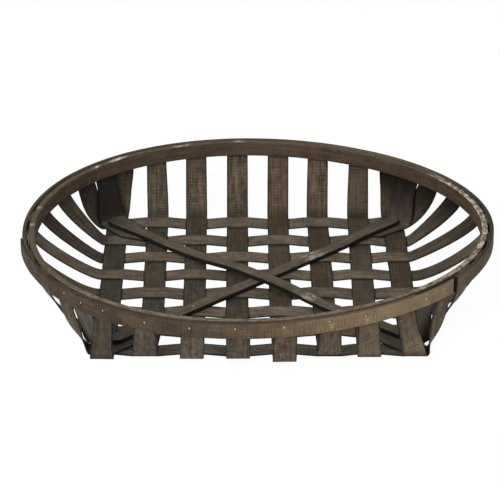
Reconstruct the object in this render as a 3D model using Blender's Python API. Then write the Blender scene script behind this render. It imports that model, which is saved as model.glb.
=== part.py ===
"""Tobacco basket: eight lengthwise and eight crosswise splints woven into a square base,
bent up all round and nailed between an inner hoop and a two-piece outer band, with a
diagonal splint in each corner and two brace slats nailed across the base.

The origin is under the middle of the rim, on the surface the basket stands on.
+X is to the right, -Y to the front and +Z up. Angles run round the rim from +X.
"""
import math

import bmesh
import bpy
from mathutils import Vector

MM = 0.001
UP = Vector((0.0, 0.0, 1.0))

# Splints
SPLINT_THICKNESS = 1.8 * MM
LENGTHWISE_WIDTH = 27.3 * MM
CROSSWISE_WIDTHS = [w * MM for w in (30.5, 29.0, 28.0, 27.6, 29.2, 28.0, 27.0, 26.0)]
CORNER_WIDTH = 32.0 * MM
GAP = 0.3 * MM

# Base weave: even pitch, with the drift of each hand-laid splint from its even place.
# Lengthwise splints are counted from the left, crosswise ones from the back. The
# lengthwise ones bow, so their drift is given at the back, at row BOW_ROW and at the front.
PITCH = 50.8 * MM
BASE_CENTRE_Y = 0.0
BACK_DRIFT = [d * MM for d in (-3.0, -2.0, -2.9, -0.9, 0.5, 0.7, 1.9, -4.2)]
BOW_DRIFT = [d * MM for d in (-1.0, 1.0, -0.7, -0.2, 1.2, 2.4, -0.2, -1.8)]
FRONT_DRIFT = [d * MM for d in (-2.7, -3.8, -1.2, 1.2, 3.6, 5.1, 0.4, 1.9)]
BOW_ROW = 5
CROSSWISE_DRIFT = [d * MM for d in (1.7, -1.1, 0.2, 0.5, 0.3, 0.7, 2.0, 4.5)]
FLAT_MARGIN = 1.3 * MM

# Rim: an oval a little blunter on the left and skewed, as the hoops were bent by hand
RIM_HALF_WIDTH = 284.4 * MM
RIM_HALF_DEPTH = 268.6 * MM
RIM_EGG = 0.016
RIM_SKEW = 0.009
RIM_TOP = 84.0 * MM
BAND_HEIGHT = 19.4 * MM
HOOP_HEIGHT = 19.6 * MM
BAND_THICKNESS = 4.8 * MM
HOOP_THICKNESS = 8.2 * MM
SPLINT_BELOW_TOP = 1.2 * MM
FACET_MARGIN = 1.4 * MM
SHORTEST_FACET = 4.0 * MM

# Where each splint end meets the rim, in degrees. The outermost splints stand beside
# the corner splints instead: the lengthwise ones END_SPACING apart, the crosswise ones
# SIDE_SPACING.
BACK_ANGLES = (117.7, 106.6, 95.5, 84.5, 73.5, 61.6)
FRONT_ANGLES = (243.4, 254.8, 265.2, 276.1, 287.0, 297.3)
LEFT_ANGLES = (151.3, 163.0, 174.7, 186.2, 198.0, 209.0)
RIGHT_ANGLES = (387.2, 374.7, 364.0, 352.6, 340.5, 331.0)
CORNER_ANGLES = {"back_left": 133.9, "front_left": 225.7, "front_right": 315.3, "back_right": 45.5}
END_SPACING = 1.25 * MM
SIDE_SPACING = 2.9 * MM

# Bands and hoop: where their ends lap, in degrees
LEFT_LAP = (189.0, 203.0)
LEFT_LAP_PROUD = 2.3 * MM
LEFT_LAP_TIP = 2.2 * MM
RIGHT_LAP = (311.0, 324.4)
RIGHT_SLOT = 3.0 * MM
RIGHT_LAP_PROUD = 2.0 * MM
RIGHT_LAP_RUN_OUT = 14.0
HOOP_LAP = (33.0, 47.0)
LAP_STEP = 0.5 * MM

# Walls: how roundly each splint turns up past the weave, how far the front ones run on
# flat before that, and how they rise
LEFT_REACH = [r * MM for r in (9.0, 4.0, 7.0, 11.0, 20.0, 18.0, 12.0, 4.0)]
RIGHT_REACH = [r * MM for r in (1.5, 4.0, 3.0, 24.0, 22.0, 18.0, 12.0, 2.0)]
BACK_REACH = 14.0 * MM
FRONT_REACH = [r * MM for r in (13.0, 7.0, 13.0, 16.0, 22.0, 6.0, 9.0, 7.0)]
FRONT_RUN = [r * MM for r in (3.1, 0.1, 0.9, 2.8, 5.3, -2.7, -1.3, -0.5)]
WALL_LEAN = 0.14
LEFT_LEAN = (0.17, 0.2, 0.17, 0.14, 0.14, 0.14, 0.14, 0.14)
RIGHT_LEAN = (0.17, 0.2, 0.14, 0.12, 0.14, 0.14, 0.14, 0.3)
WALL_RISE = 22.0 * MM
WALL_STEPS = 7
CORNER_TWIST_DONE = 0.75
SANDWICH_ENTRY = 2.5 * MM

# Corner splints: straight in plan from a pointed inner end to the rim. Shares of the wall's
# height say where each starts and ends drawing in to pass between its neighbours.
CORNER_WALL_WIDTH = 40.0 * MM
CORNER_NARROWS = 0.35
CORNER_NARROWED = 0.85
CORNER_TIP_REACH = 68.0 * MM
CORNER_TIP_SHIFT = {"back_left": 14.0 * MM, "front_left": 0.0,
                    "front_right": 0.0, "back_right": 0.0}
CORNER_TIP_WIDTH = 5.0 * MM
CORNER_TIP_TAPER = 26.0 * MM
CORNER_FLATS = {"back_left": 67.4 * MM, "front_left": 67.0 * MM,
                "front_right": 66.5 * MM, "back_right": 67.4 * MM}
CORNER_FOLD_REACH = 12.0 * MM
CORNER_FOLD_RISE = 32.0 * MM
CORNER_FOLD_LEAN = 13.0 * MM

# Brace slats: tips in plan, section and how they ride over what lies under them
SLAT_WIDTH = 16.5 * MM
SLAT_THICKNESS = 5.5 * MM
UPPER_SLAT_TIPS = ((-189.4 * MM, 170.9 * MM), (177.0 * MM, -155.4 * MM))
LOWER_SLAT_TIPS = ((178.0 * MM, 173.5 * MM), (-171.5 * MM, -166.0 * MM))
SLAT_TIP_WIDTH = 8.0 * MM
SLAT_TIP_TAPER = 7.0 * MM
SLAT_END_FLAT = 65.0 * MM
SLAT_END_RAMP = 38.0 * MM
SLAT_CROSSING_FLAT = 22.0 * MM
SLAT_CROSSING_RAMP = 92.0 * MM

# Nails
NAIL_RADIUS = 0.9 * MM
NAIL_HEAD_RADIUS = 1.7 * MM
NAIL_HEAD_DOME = 1.0 * MM
NAIL_HEAD_EDGE = 0.5 * MM
NAIL_HEAD_HEIGHT = 0.9 * MM
NAIL_SIDES = 6
RIM_NAIL_BITE = 5.1 * MM
BRACE_NAIL_LIFT = 0.5 * MM
BRACE_NAIL_INSET = 11.0 * MM
BRACE_NAIL_SHIFT = 4.5 * MM
BRACED_SPLINTS = (2, 5)
LOST_NAIL = ("front", 7)
# Run to the right and rise of each front nail from the middle of its splint end
NAIL_OFFSETS = {
    ("left", 7): (5.6 * MM, 4.0 * MM), "front_left": (2.8 * MM, 2.0 * MM),
    ("front", 0): (4.8 * MM, 2.6 * MM), ("front", 1): (2.6 * MM, 1.1 * MM),
    ("front", 2): (-2.3 * MM, 1.5 * MM), ("front", 3): (-3.3 * MM, 3.5 * MM),
    ("front", 4): (-2.4 * MM, 3.3 * MM), ("front", 5): (-3.0 * MM, 4.0 * MM),
    ("front", 6): (-7.0 * MM, 2.6 * MM), "front_right": (-6.2 * MM, 0.8 * MM),
    ("right", 7): (-9.0 * MM, 2.7 * MM),
}

# Worked out from the sizes above
COUNT = len(CROSSWISE_DRIFT)
HALF_COUNT = (COUNT - 1) / 2
WEAVE_RISE = (SPLINT_THICKNESS + GAP) / 2
WEAVE_MIDDLE = SPLINT_THICKNESS + GAP / 2
WEAVE_TOP = 2 * SPLINT_THICKNESS + GAP
CROSSWISE_Y = [(HALF_COUNT - i) * PITCH + BASE_CENTRE_Y + d for i, d in enumerate(CROSSWISE_DRIFT)]
BAND_INNER = SPLINT_THICKNESS / 2 + GAP
BAND_OUTER = BAND_INNER + BAND_THICKNESS
HOOP_OUTER = -BAND_INNER
HOOP_INNER = HOOP_OUTER - HOOP_THICKNESS
HOOP_MIDDLE = (HOOP_OUTER + HOOP_INNER) / 2
RIM_BOTTOM = RIM_TOP - max(BAND_HEIGHT, HOOP_HEIGHT)
NAIL_LEVEL = RIM_TOP - BAND_HEIGHT / 2
NAIL_TIP = HOOP_OUTER - RIM_NAIL_BITE


def clear_scene():
    for obj in list(bpy.data.objects):
        bpy.data.objects.remove(obj, do_unlink=True)


def make_material(name, srgb, roughness, metallic=0.0):
    """Plain Principled finish from a photographed colour given as 0 to 255 sRGB."""
    linear = [((c / 255 + 0.055) / 1.055) ** 2.4 for c in srgb]
    material = bpy.data.materials.new(name)
    material.use_nodes = True
    shader = material.node_tree.nodes["Principled BSDF"]
    shader.inputs["Base Color"].default_value = (*linear, 1.0)
    shader.inputs["Roughness"].default_value = roughness
    shader.inputs["Metallic"].default_value = metallic
    return material


def add_object(name, bm, material, smooth_angle=None):
    bmesh.ops.recalc_face_normals(bm, faces=bm.faces)
    mesh = bpy.data.meshes.new(name)
    bm.to_mesh(mesh)
    bm.free()
    if smooth_angle is not None:
        mesh.shade_smooth()
        mesh.set_sharp_from_angle(angle=math.radians(smooth_angle))
    mesh.materials.append(material)
    obj = bpy.data.objects.new(name, mesh)
    bpy.context.scene.collection.objects.link(obj)
    return obj


def loft(bm, sections):
    """Closed bar through a list of sections, each a loop of the same number of points."""
    loops = [[bm.verts.new(p) for p in section] for section in sections]
    for near, far in zip(loops, loops[1:]):
        for i in range(len(near)):
            j = (i + 1) % len(near)
            bm.faces.new((near[i], near[j], far[j], far[i]))
    bm.faces.new(loops[0][::-1])
    bm.faces.new(loops[-1])


def strip_section(centre, across, normal, width, thickness):
    """Corners of a flat strip's section, square to the strip at one point."""
    a = across * (width / 2)
    n = normal * (thickness / 2)
    return [centre - a - n, centre + a - n, centre + a + n, centre - a + n]


# Rim

def rim_point(angle):
    """Plan point halfway between hoop and band, where the splint ends stand."""
    inset = BAND_OUTER
    t = math.radians(angle)
    shape = 1 - RIM_EGG * (math.cos(t) - math.cos(3 * t)) + RIM_SKEW * math.sin(2 * t)
    x = (RIM_HALF_WIDTH - inset) * math.cos(t) * shape
    y = (RIM_HALF_DEPTH - inset) * math.sin(t) * shape
    return Vector((x, y))


def degrees_for(angle, length):
    """Angle that covers a length of rim near the given angle."""
    return length / (rim_point(angle + 0.5) - rim_point(angle - 0.5)).length


def splint_ends():
    """Every splint end on the rim: name of splint and side, with its angle and width."""
    ends = {}
    for corner, angle in CORNER_ANGLES.items():
        ends[corner] = (angle, CORNER_WIDTH)
        side_is_later = corner in ("back_left", "front_right")
        turn = 1 if side_is_later else -1
        row = 0 if "back" in corner else COUNT - 1
        column = 0 if "left" in corner else COUNT - 1
        side_step = (CORNER_WIDTH + CROSSWISE_WIDTHS[row]) / 2 + SIDE_SPACING
        end_step = (CORNER_WIDTH + LENGTHWISE_WIDTH) / 2 + END_SPACING
        side = "left" if "left" in corner else "right"
        end = "back" if "back" in corner else "front"
        ends[side, row] = (angle + turn * degrees_for(angle, side_step), CROSSWISE_WIDTHS[row])
        ends[end, column] = (angle - turn * degrees_for(angle, end_step), LENGTHWISE_WIDTH)
    for i in range(1, COUNT - 1):
        ends["back", i] = (BACK_ANGLES[i - 1], LENGTHWISE_WIDTH)
        ends["front", i] = (FRONT_ANGLES[i - 1], LENGTHWISE_WIDTH)
        ends["left", i] = (LEFT_ANGLES[i - 1], CROSSWISE_WIDTHS[i])
        ends["right", i] = (RIGHT_ANGLES[i - 1], CROSSWISE_WIDTHS[i])
    return {key: (angle % 360, width) for key, (angle, width) in ends.items()}


def rim_corners(ends):
    """Angles at which the hoops turn, so that each splint end stands against a flat."""
    spans = []
    for angle, width in sorted(ends.values()):
        half = degrees_for(angle, width / 2 + FACET_MARGIN)
        spans.append((angle - half, angle + half))
    angles = []
    for (_, end), (start, _) in zip(spans, spans[1:] + [(spans[0][0] + 360, 0)]):
        if start - end < degrees_for(end, SHORTEST_FACET):
            angles.append((start + end) / 2 % 360)
        else:
            angles += [end % 360, start % 360]
    return sorted(angles)


class Rim:
    """Outline with flats, shared by hoop, bands, splint ends and nails."""

    def __init__(self, ends):
        self.angles = rim_corners(ends)
        self.points = [rim_point(a) for a in self.angles]

    def facet(self, angle):
        """Index of the flat at an angle and how far along it the angle lies, 0 to 1."""
        angle %= 360
        count = len(self.angles)
        i = sum(a <= angle + 1e-9 for a in self.angles) - 1
        start = self.angles[i] if i >= 0 else self.angles[-1] - 360
        end = self.angles[(i + 1) % count]
        if end < start:
            end += 360
            if angle < start:
                angle += 360
        return i % count, (angle - start) / (end - start)

    def along(self, i):
        count = len(self.points)
        return (self.points[(i + 1) % count] - self.points[i % count]).normalized()

    def outward(self, i):
        d = self.along(i)
        return Vector((d.y, -d.x))

    def point(self, angle, offset=0.0):
        """Plan point at an angle, set off outward from the line of the splint ends."""
        i, f = self.facet(angle)
        count = len(self.points)
        if f < 1e-6:
            before, after = self.outward(i - 1), self.outward(i)
            mitre = (before + after) / (1 + before.dot(after))
            return self.points[i] + mitre * offset
        return self.points[i].lerp(self.points[(i + 1) % count], f) + self.outward(i) * offset


def value_at(keys, angle):
    """Offsets of a hoop's two faces at an angle, from its key sections."""
    for (a0, *v0), (a1, *v1) in zip(keys, keys[1:]):
        if a0 <= angle <= a1:
            f = (angle - a0) / (a1 - a0)
            return [p + (q - p) * f for p, q in zip(v0, v1)]
    raise ValueError("angle is outside the hoop")


def bent_hoop(name, rim, keys, bottom, material):
    """Hoop or band bent along the rim: keys are its angle, inner and outer offsets."""
    first, last = keys[0][0], keys[-1][0]
    stations = {k[0] for k in keys}
    for turn in (-360, 0, 360):
        stations |= {a + turn for a in rim.angles if first < a + turn < last}
    closest = degrees_for(first, LAP_STEP / 2)
    kept = []
    fixed = {k[0] for k in keys}
    for angle in sorted(stations):
        if angle not in fixed and any(abs(angle - k) < closest for k in fixed):
            continue
        kept.append(angle)
    sections = []
    for angle in kept:
        inner, outer = (rim.point(angle, v) for v in value_at(keys, angle))
        sections.append([inner.to_3d() + UP * bottom, outer.to_3d() + UP * bottom,
                         outer.to_3d() + UP * RIM_TOP, inner.to_3d() + UP * RIM_TOP])
    bm = bmesh.new()
    loft(bm, sections)
    return add_object(name, bm, material)


def rear_band_keys():
    """Rear band: thinned under the front band at both its ends, proud past the right one."""
    lap_start, lap_end = RIGHT_LAP
    half = BAND_INNER + (BAND_THICKNESS - GAP) / 2
    shoulder = lap_end + degrees_for(lap_end, RIGHT_SLOT)
    full = shoulder + degrees_for(shoulder, LAP_STEP)
    thinning = LEFT_LAP[0] - degrees_for(LEFT_LAP[0], 2 * LEFT_LAP_TIP)
    return [(lap_start - 360, BAND_INNER, half), (shoulder - 360, BAND_INNER, half),
            (full - 360, BAND_INNER, BAND_OUTER + RIGHT_LAP_PROUD),
            (full + RIGHT_LAP_RUN_OUT - 360, BAND_INNER, BAND_OUTER), (thinning, BAND_INNER, BAND_OUTER),
            (LEFT_LAP[1], BAND_INNER, BAND_INNER + LEFT_LAP_TIP)]


def front_band_keys():
    """Front band: outermost at both laps, standing proud at the left one."""
    start, end = LEFT_LAP
    under = rear_band_keys()
    under_start = value_at(under, start)[1] + GAP
    under_end = BAND_INNER + LEFT_LAP_TIP + GAP
    past = end + degrees_for(end, LAP_STEP)
    seated = past + degrees_for(past, 2 * under_end)
    half = BAND_INNER + (BAND_THICKNESS - GAP) / 2 + GAP
    right_start, right_tip = RIGHT_LAP
    leave = right_start - degrees_for(right_start, 2 * LAP_STEP)
    lifted = right_start - degrees_for(right_start, LAP_STEP)
    proud_end = BAND_OUTER + GAP
    return [(start, under_start, BAND_OUTER + LEFT_LAP_PROUD), (end, under_end, proud_end),
            (past, under_end, BAND_OUTER), (seated, BAND_INNER, BAND_OUTER),
            (leave, BAND_INNER, BAND_OUTER), (lifted, half, BAND_OUTER), (right_tip, half, BAND_OUTER)]


def inner_hoop_keys():
    """Inner hoop: one bar whose two half-thickness ends lap at the back right."""
    start, end = HOOP_LAP
    inside = HOOP_MIDDLE - GAP / 2
    outside = HOOP_MIDDLE + GAP / 2
    step = degrees_for(end, LAP_STEP)
    return [(start, HOOP_INNER, inside), (end, HOOP_INNER, inside), (end + step, HOOP_INNER, HOOP_OUTER),
            (start + 360 - 2 * step, HOOP_INNER, HOOP_OUTER), (start + 360 - step, outside, HOOP_OUTER),
            (end + 360 - step, outside, HOOP_OUTER)]


def band_face(angle):
    """Offset of the outermost band face at an angle, where a nail head sits."""
    faces = []
    for keys in (rear_band_keys(), front_band_keys()):
        for turned in (angle, angle - 360):
            if keys[0][0] <= turned <= keys[-1][0]:
                faces.append(value_at(keys, turned)[1])
    return max(faces)


# Splints

def lengthwise_is_over(column, row):
    return (column + row) % 2 == 0


def lengthwise_x(column, y):
    """Where a lengthwise splint's centre line lies at a place between back and front."""
    bow_y = CROSSWISE_Y[BOW_ROW]
    if y > bow_y:
        end_drift, end_y = BACK_DRIFT[column], CROSSWISE_Y[0]
    else:
        end_drift, end_y = FRONT_DRIFT[column], CROSSWISE_Y[-1]
    share = (y - bow_y) / (end_y - bow_y)
    return (column - HALF_COUNT) * PITCH + BOW_DRIFT[column] + (end_drift - BOW_DRIFT[column]) * share


def weave_stations(crossings, over, widths):
    """Places and heights along a splint's base: flat over and under each crossing."""
    stations = []
    for place, is_over, width in zip(crossings, over, widths):
        half = width / 2 + FLAT_MARGIN
        level = WEAVE_MIDDLE + (WEAVE_RISE if is_over else -WEAVE_RISE)
        stations += [(place - half, level), (place + half, level)]
    return stations


def bezier(points, t):
    a, b, c, d = points
    s = 1 - t
    return a * s ** 3 + b * 3 * s * s * t + c * 3 * s * t * t + d * t ** 3


def smooth(t):
    t = min(max(t, 0.0), 1.0)
    return t * t * (3 - 2 * t)


def rim_sections(rim, angle, across_sign, width):
    """Upright end of a splint between hoop and band, from its foot to its top."""
    i, _ = rim.facet(angle)
    across = rim.along(i).to_3d() * across_sign
    outward = rim.outward(i).to_3d()
    place = rim.point(angle).to_3d()
    levels = (RIM_BOTTOM - SANDWICH_ENTRY, RIM_BOTTOM, RIM_TOP - SPLINT_BELOW_TOP)
    return [(place + UP * z, across, outward, width) for z in levels]


def wall_curve(start, direction, reach, lean, foot):
    """Control points of a wall, from the end of its base flat to the foot of its rim end."""
    run = (foot - start) * lean
    return start, start + direction * reach, foot - Vector((run.x, run.y, WALL_RISE)), foot


def corner_width(share):
    """Width of a corner splint up its wall, drawn in where its end fits between its neighbours'."""
    drawn_in = smooth((share - CORNER_NARROWS) / (CORNER_NARROWED - CORNER_NARROWS))
    return CORNER_WALL_WIDTH + (CORNER_WIDTH - CORNER_WALL_WIDTH) * drawn_in


def wall_sections(curve, direction, across, foot, twist_done=1.0):
    """Wall of a splint along a curve, turning from its base flat to face the rim."""
    _, rim_across, _, width = foot
    sections = []
    for k in range(1, WALL_STEPS):
        t = k / WALL_STEPS
        tangent = (bezier(curve, t + 0.01) - bezier(curve, t - 0.01)).normalized()
        side = across.lerp(rim_across, smooth(t / twist_done))
        side = (side - tangent * side.dot(tangent)).normalized()
        normal = side.cross(tangent)
        if normal.dot(direction - UP * 0.5) < 0:
            normal = -normal
        centre = bezier(curve, t)
        lowest = centre.z - abs(side.z) * width / 2 - abs(normal.z) * SPLINT_THICKNESS / 2
        centre.z -= min(lowest, 0.0)
        sections.append((centre, side, normal, width))
    return sections


def woven_splint(rim, base, low_end, high_end):
    """Sections of one woven splint from rim to rim.

    base is a list of points; each end is its rim angle, width, reach, lean and whether it
    is a corner.
    """
    along = (base[-1] - base[0]).normalized()
    along.z = 0.0
    along.normalize()
    sides = []
    for point, direction, (angle, width, reach, lean, is_corner) in (
            (base[0], -along, low_end), (base[-1], along, high_end)):
        across = direction.cross(UP)
        upright = rim_sections(rim, angle, 1, width)
        if upright[0][1].dot(across) < 0:
            across = -across
        curve = wall_curve(point, direction, reach, lean, upright[0][0])
        wall = wall_sections(curve, direction, across, upright[0], CORNER_TWIST_DONE if is_corner else 1.0)
        flat = (point, across, -UP, width)
        sides.append([flat] + wall + upright)
    low, high = sides
    sections = [strip_section(c, a, n, w, SPLINT_THICKNESS) for c, a, n, w in reversed(low)]
    middle = [(p, low[0][1], -UP, low[0][3]) for p in base[1:-1]]
    sections += [strip_section(c, a, n, w, SPLINT_THICKNESS) for c, a, n, w in middle]
    flip = low[0][1].dot(high[0][1]) < 0
    for centre, across, normal, width in high:
        side = -across if flip else across
        sections.append(strip_section(centre, side, normal, width, SPLINT_THICKNESS))
    return sections


def lengthwise_splint(rim, ends, column, material):
    rows = list(range(COUNT))[::-1]
    stations = weave_stations([CROSSWISE_Y[r] for r in rows],
                              [lengthwise_is_over(column, r) for r in rows],
                              [CROSSWISE_WIDTHS[r] for r in rows])
    base = [Vector((lengthwise_x(column, y), y, z)) for y, z in stations]
    base[0].y -= FRONT_RUN[column]
    is_corner = column in (0, COUNT - 1)
    front = (*ends["front", column], FRONT_REACH[column], WALL_LEAN, is_corner)
    back = (*ends["back", column], BACK_REACH, WALL_LEAN, is_corner)
    bm = bmesh.new()
    loft(bm, woven_splint(rim, base, front, back))
    return add_object(f"lengthwise_splint_{column + 1}", bm, material)


def crosswise_splint(rim, ends, row, material):
    y = CROSSWISE_Y[row]
    columns = range(COUNT)
    stations = weave_stations([lengthwise_x(c, y) for c in columns],
                              [not lengthwise_is_over(c, row) for c in columns],
                              [LENGTHWISE_WIDTH] * COUNT)
    base = [Vector((x, y, z)) for x, z in stations]
    is_corner = row in (0, COUNT - 1)
    left = (*ends["left", row], LEFT_REACH[row], LEFT_LEAN[row], is_corner)
    right = (*ends["right", row], RIGHT_REACH[row], RIGHT_LEAN[row], is_corner)
    bm = bmesh.new()
    loft(bm, woven_splint(rim, base, left, right))
    return add_object(f"crosswise_splint_{row + 1}", bm, material)


def corner_crossing(corner):
    """Middle of the crossing of the outermost splints at a corner, and the way outward."""
    y = CROSSWISE_Y[0 if "back" in corner else -1]
    x = lengthwise_x(0 if "left" in corner else COUNT - 1, y)
    outward = Vector((math.copysign(1, x), math.copysign(1, y), 0.0)).normalized()
    return Vector((x, y, 0.0)), outward


def corner_splint(rim, ends, corner, material):
    """Splint from a point on the base, up inside the corner, to the rim."""
    crossing, outward = corner_crossing(corner)
    tip = crossing - outward * CORNER_TIP_REACH + UP.cross(outward) * CORNER_TIP_SHIFT[corner]
    tip.z = WEAVE_TOP + GAP + SPLINT_THICKNESS / 2
    angle, width = ends[corner]
    upright = rim_sections(rim, angle, 1, width)
    foot = upright[0][0]
    heading = Vector((foot.x - tip.x, foot.y - tip.y, 0.0)).normalized()
    across = heading.cross(UP)
    if across.dot(upright[0][1]) < 0:
        across = -across
    flats = [(0.0, CORNER_TIP_WIDTH), (CORNER_TIP_TAPER, CORNER_WALL_WIDTH),
             (CORNER_FLATS[corner], CORNER_WALL_WIDTH)]
    sections = [(tip + heading * d, across, -UP, w) for d, w in flats]
    start = sections[-1][0]
    below = foot - heading * CORNER_FOLD_LEAN - UP * CORNER_FOLD_RISE
    curve = (start, start + heading * CORNER_FOLD_REACH, below, foot)
    for k, (centre, side, normal, _) in enumerate(wall_sections(curve, heading, across, upright[0]), 1):
        sections.append((centre, side, normal, corner_width(k / WALL_STEPS)))
    sections += upright
    bm = bmesh.new()
    loft(bm, [strip_section(c, a, n, w, SPLINT_THICKNESS) for c, a, n, w in sections])
    return add_object(f"corner_splint_{corner}", bm, material)


# Brace slats

def plan_crossing(first, second):
    """Point in plan where the centre lines of the two slats cross."""
    p, q = (Vector(v) for v in first)
    r, s = (Vector(v) for v in second)
    a, b = q - p, s - r
    t = ((r - p).x * b.y - (r - p).y * b.x) / (a.x * b.y - a.y * b.x)
    return p + a * t


def slat_floor(place, length, crossing, is_upper):
    """Height of a slat's underside at a distance from its first tip."""
    low = WEAVE_TOP + GAP
    on_corner = low + SPLINT_THICKNESS + GAP
    from_tip = min(place, length - place)
    rise = 1 - smooth((from_tip - SLAT_END_FLAT) / SLAT_END_RAMP)
    level = low + (on_corner - low) * rise
    if is_upper:
        step = SLAT_THICKNESS + GAP
        level += step * (1 - smooth((abs(place - crossing) - SLAT_CROSSING_FLAT) / SLAT_CROSSING_RAMP))
    return level


def brace_slat(name, tips, other, is_upper, material):
    start, end = (Vector(t) for t in tips)
    along = (end - start).normalized()
    across = Vector((-along.y, along.x, 0.0))
    length = (end - start).length
    crossing = (plan_crossing(tips, other) - start).length
    near_end = [0.0, SLAT_TIP_TAPER] + [SLAT_END_FLAT + SLAT_END_RAMP * k / 3 for k in range(4)]
    places = list(near_end)
    if is_upper:
        reach = [SLAT_CROSSING_FLAT + SLAT_CROSSING_RAMP * k / 3 for k in (3, 2, 1, 0)]
        places += [crossing - r for r in reach] + [crossing + r for r in reversed(reach)]
    places += [length - p for p in reversed(near_end)]
    sections = []
    for place in places:
        taper = min(place / SLAT_TIP_TAPER, (length - place) / SLAT_TIP_TAPER, 1.0)
        width = SLAT_TIP_WIDTH + (SLAT_WIDTH - SLAT_TIP_WIDTH) * taper
        floor = slat_floor(place, length, crossing, is_upper)
        centre = (start + along * place).to_3d() + UP * (floor + SLAT_THICKNESS / 2)
        sections.append(strip_section(centre, across, UP, width, SLAT_THICKNESS))
    bm = bmesh.new()
    loft(bm, sections)
    return add_object(name, bm, material)


# Nails

def lathe(bm, base, axis, profile):
    """Turned solid along an axis from (distance, radius) pairs."""
    side = axis.cross(UP if abs(axis.z) < 0.9 else Vector((1.0, 0.0, 0.0))).normalized()
    other = axis.cross(side)
    rings = []
    for distance, radius in profile:
        ring = []
        for k in range(NAIL_SIDES):
            turn = 2 * math.pi * k / NAIL_SIDES
            ring.append(base + axis * distance + (side * math.cos(turn) + other * math.sin(turn)) * radius)
        rings.append(ring)
    loft(bm, rings)


def add_nail(bm, seat, axis, length, lift):
    """Nail whose head sits a little above its seat, with its shank running back into it."""
    profile = [(-length, NAIL_RADIUS), (lift, NAIL_RADIUS), (lift, NAIL_HEAD_RADIUS),
               (lift + NAIL_HEAD_EDGE, NAIL_HEAD_RADIUS), (lift + NAIL_HEAD_HEIGHT, NAIL_HEAD_DOME)]
    lathe(bm, seat, axis, profile)


def add_hole(bm, seat, axis, length):
    """Cutter for a nail's hole, with a gap all round the shank."""
    lathe(bm, seat, axis, [(-length - GAP, NAIL_RADIUS + GAP), (NAIL_HEAD_RADIUS, NAIL_RADIUS + GAP)])


def rim_nail_seats(rim, ends):
    """Seat, axis and shank length of the nail through each splint end, round the rim."""
    seats = {}
    for key, (angle, _) in sorted(ends.items(), key=lambda end: end[1]):
        i, _ = rim.facet(angle)
        face = band_face(angle)
        run, rise = NAIL_OFFSETS.get(key, (0.0, 0.0))
        seat = (rim.point(angle, face) + rim.along(i) * run).to_3d() + UP * (NAIL_LEVEL + rise)
        seats[key] = (seat, rim.outward(i).to_3d(), face - NAIL_TIP)
    return seats


def brace_nail_seats(tips, other, is_upper):
    """Seat, axis and shank length of the nails down through one slat."""
    start, end = (Vector(t) for t in tips)
    along = (end - start).normalized()
    length = (end - start).length
    middle = plan_crossing(tips, other)
    crossing = (middle - start).length
    spots = []
    for column in BRACED_SPLINTS:
        for row in BRACED_SPLINTS:
            knot = Vector((lengthwise_x(column, CROSSWISE_Y[row]), CROSSWISE_Y[row]))
            foot = start + along * (knot - start).dot(along)
            if (foot - knot).length < SLAT_WIDTH:
                spots.append(foot)
    for tip, inward in ((start, along), (end, -along)):
        y = CROSSWISE_Y[0 if tip.y > 0 else -1]
        corner = Vector((lengthwise_x(0 if tip.x < 0 else COUNT - 1, y), y))
        diagonal = Vector((-math.copysign(1, tip.x), -math.copysign(1, tip.y))).normalized()
        spot = tip + inward * BRACE_NAIL_INSET
        nearest = corner + diagonal * (spot - corner).dot(diagonal)
        spots.append(spot + (nearest - spot).normalized() * BRACE_NAIL_SHIFT)
    tops = [slat_floor((s - start).dot(along), length, crossing, is_upper) + SLAT_THICKNESS for s in spots]
    seats = [(s.to_3d() + UP * top, UP, top - BRACE_NAIL_LIFT) for s, top in zip(spots, tops)]
    if is_upper:
        top = slat_floor(crossing, length, crossing, True) + SLAT_THICKNESS
        seats.append((middle.to_3d() + UP * top, UP, top - WEAVE_TOP - BRACE_NAIL_LIFT))
    return seats


def helper(name, bm, material):
    """Shape used only by a modifier of another object."""
    obj = add_object(name, bm, material)
    obj.hide_render = True
    obj.display_type = "WIRE"
    return obj


def hole_cutter(name, seats, material):
    bm = bmesh.new()
    for seat, axis, length in seats:
        add_hole(bm, seat, axis, length)
    return helper(name, bm, material)


def driven_nails(name, seats, material):
    """Nails that are one solid with the slat they are driven through."""
    bm = bmesh.new()
    for seat, axis, length in seats:
        add_nail(bm, seat, axis, length, -GAP)
    return helper(name, bm, material)


def combine(obj, other, operation):
    modifier = obj.modifiers.new(other.name, "BOOLEAN")
    modifier.operation = operation
    modifier.solver = "EXACT"
    modifier.object = other


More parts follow.
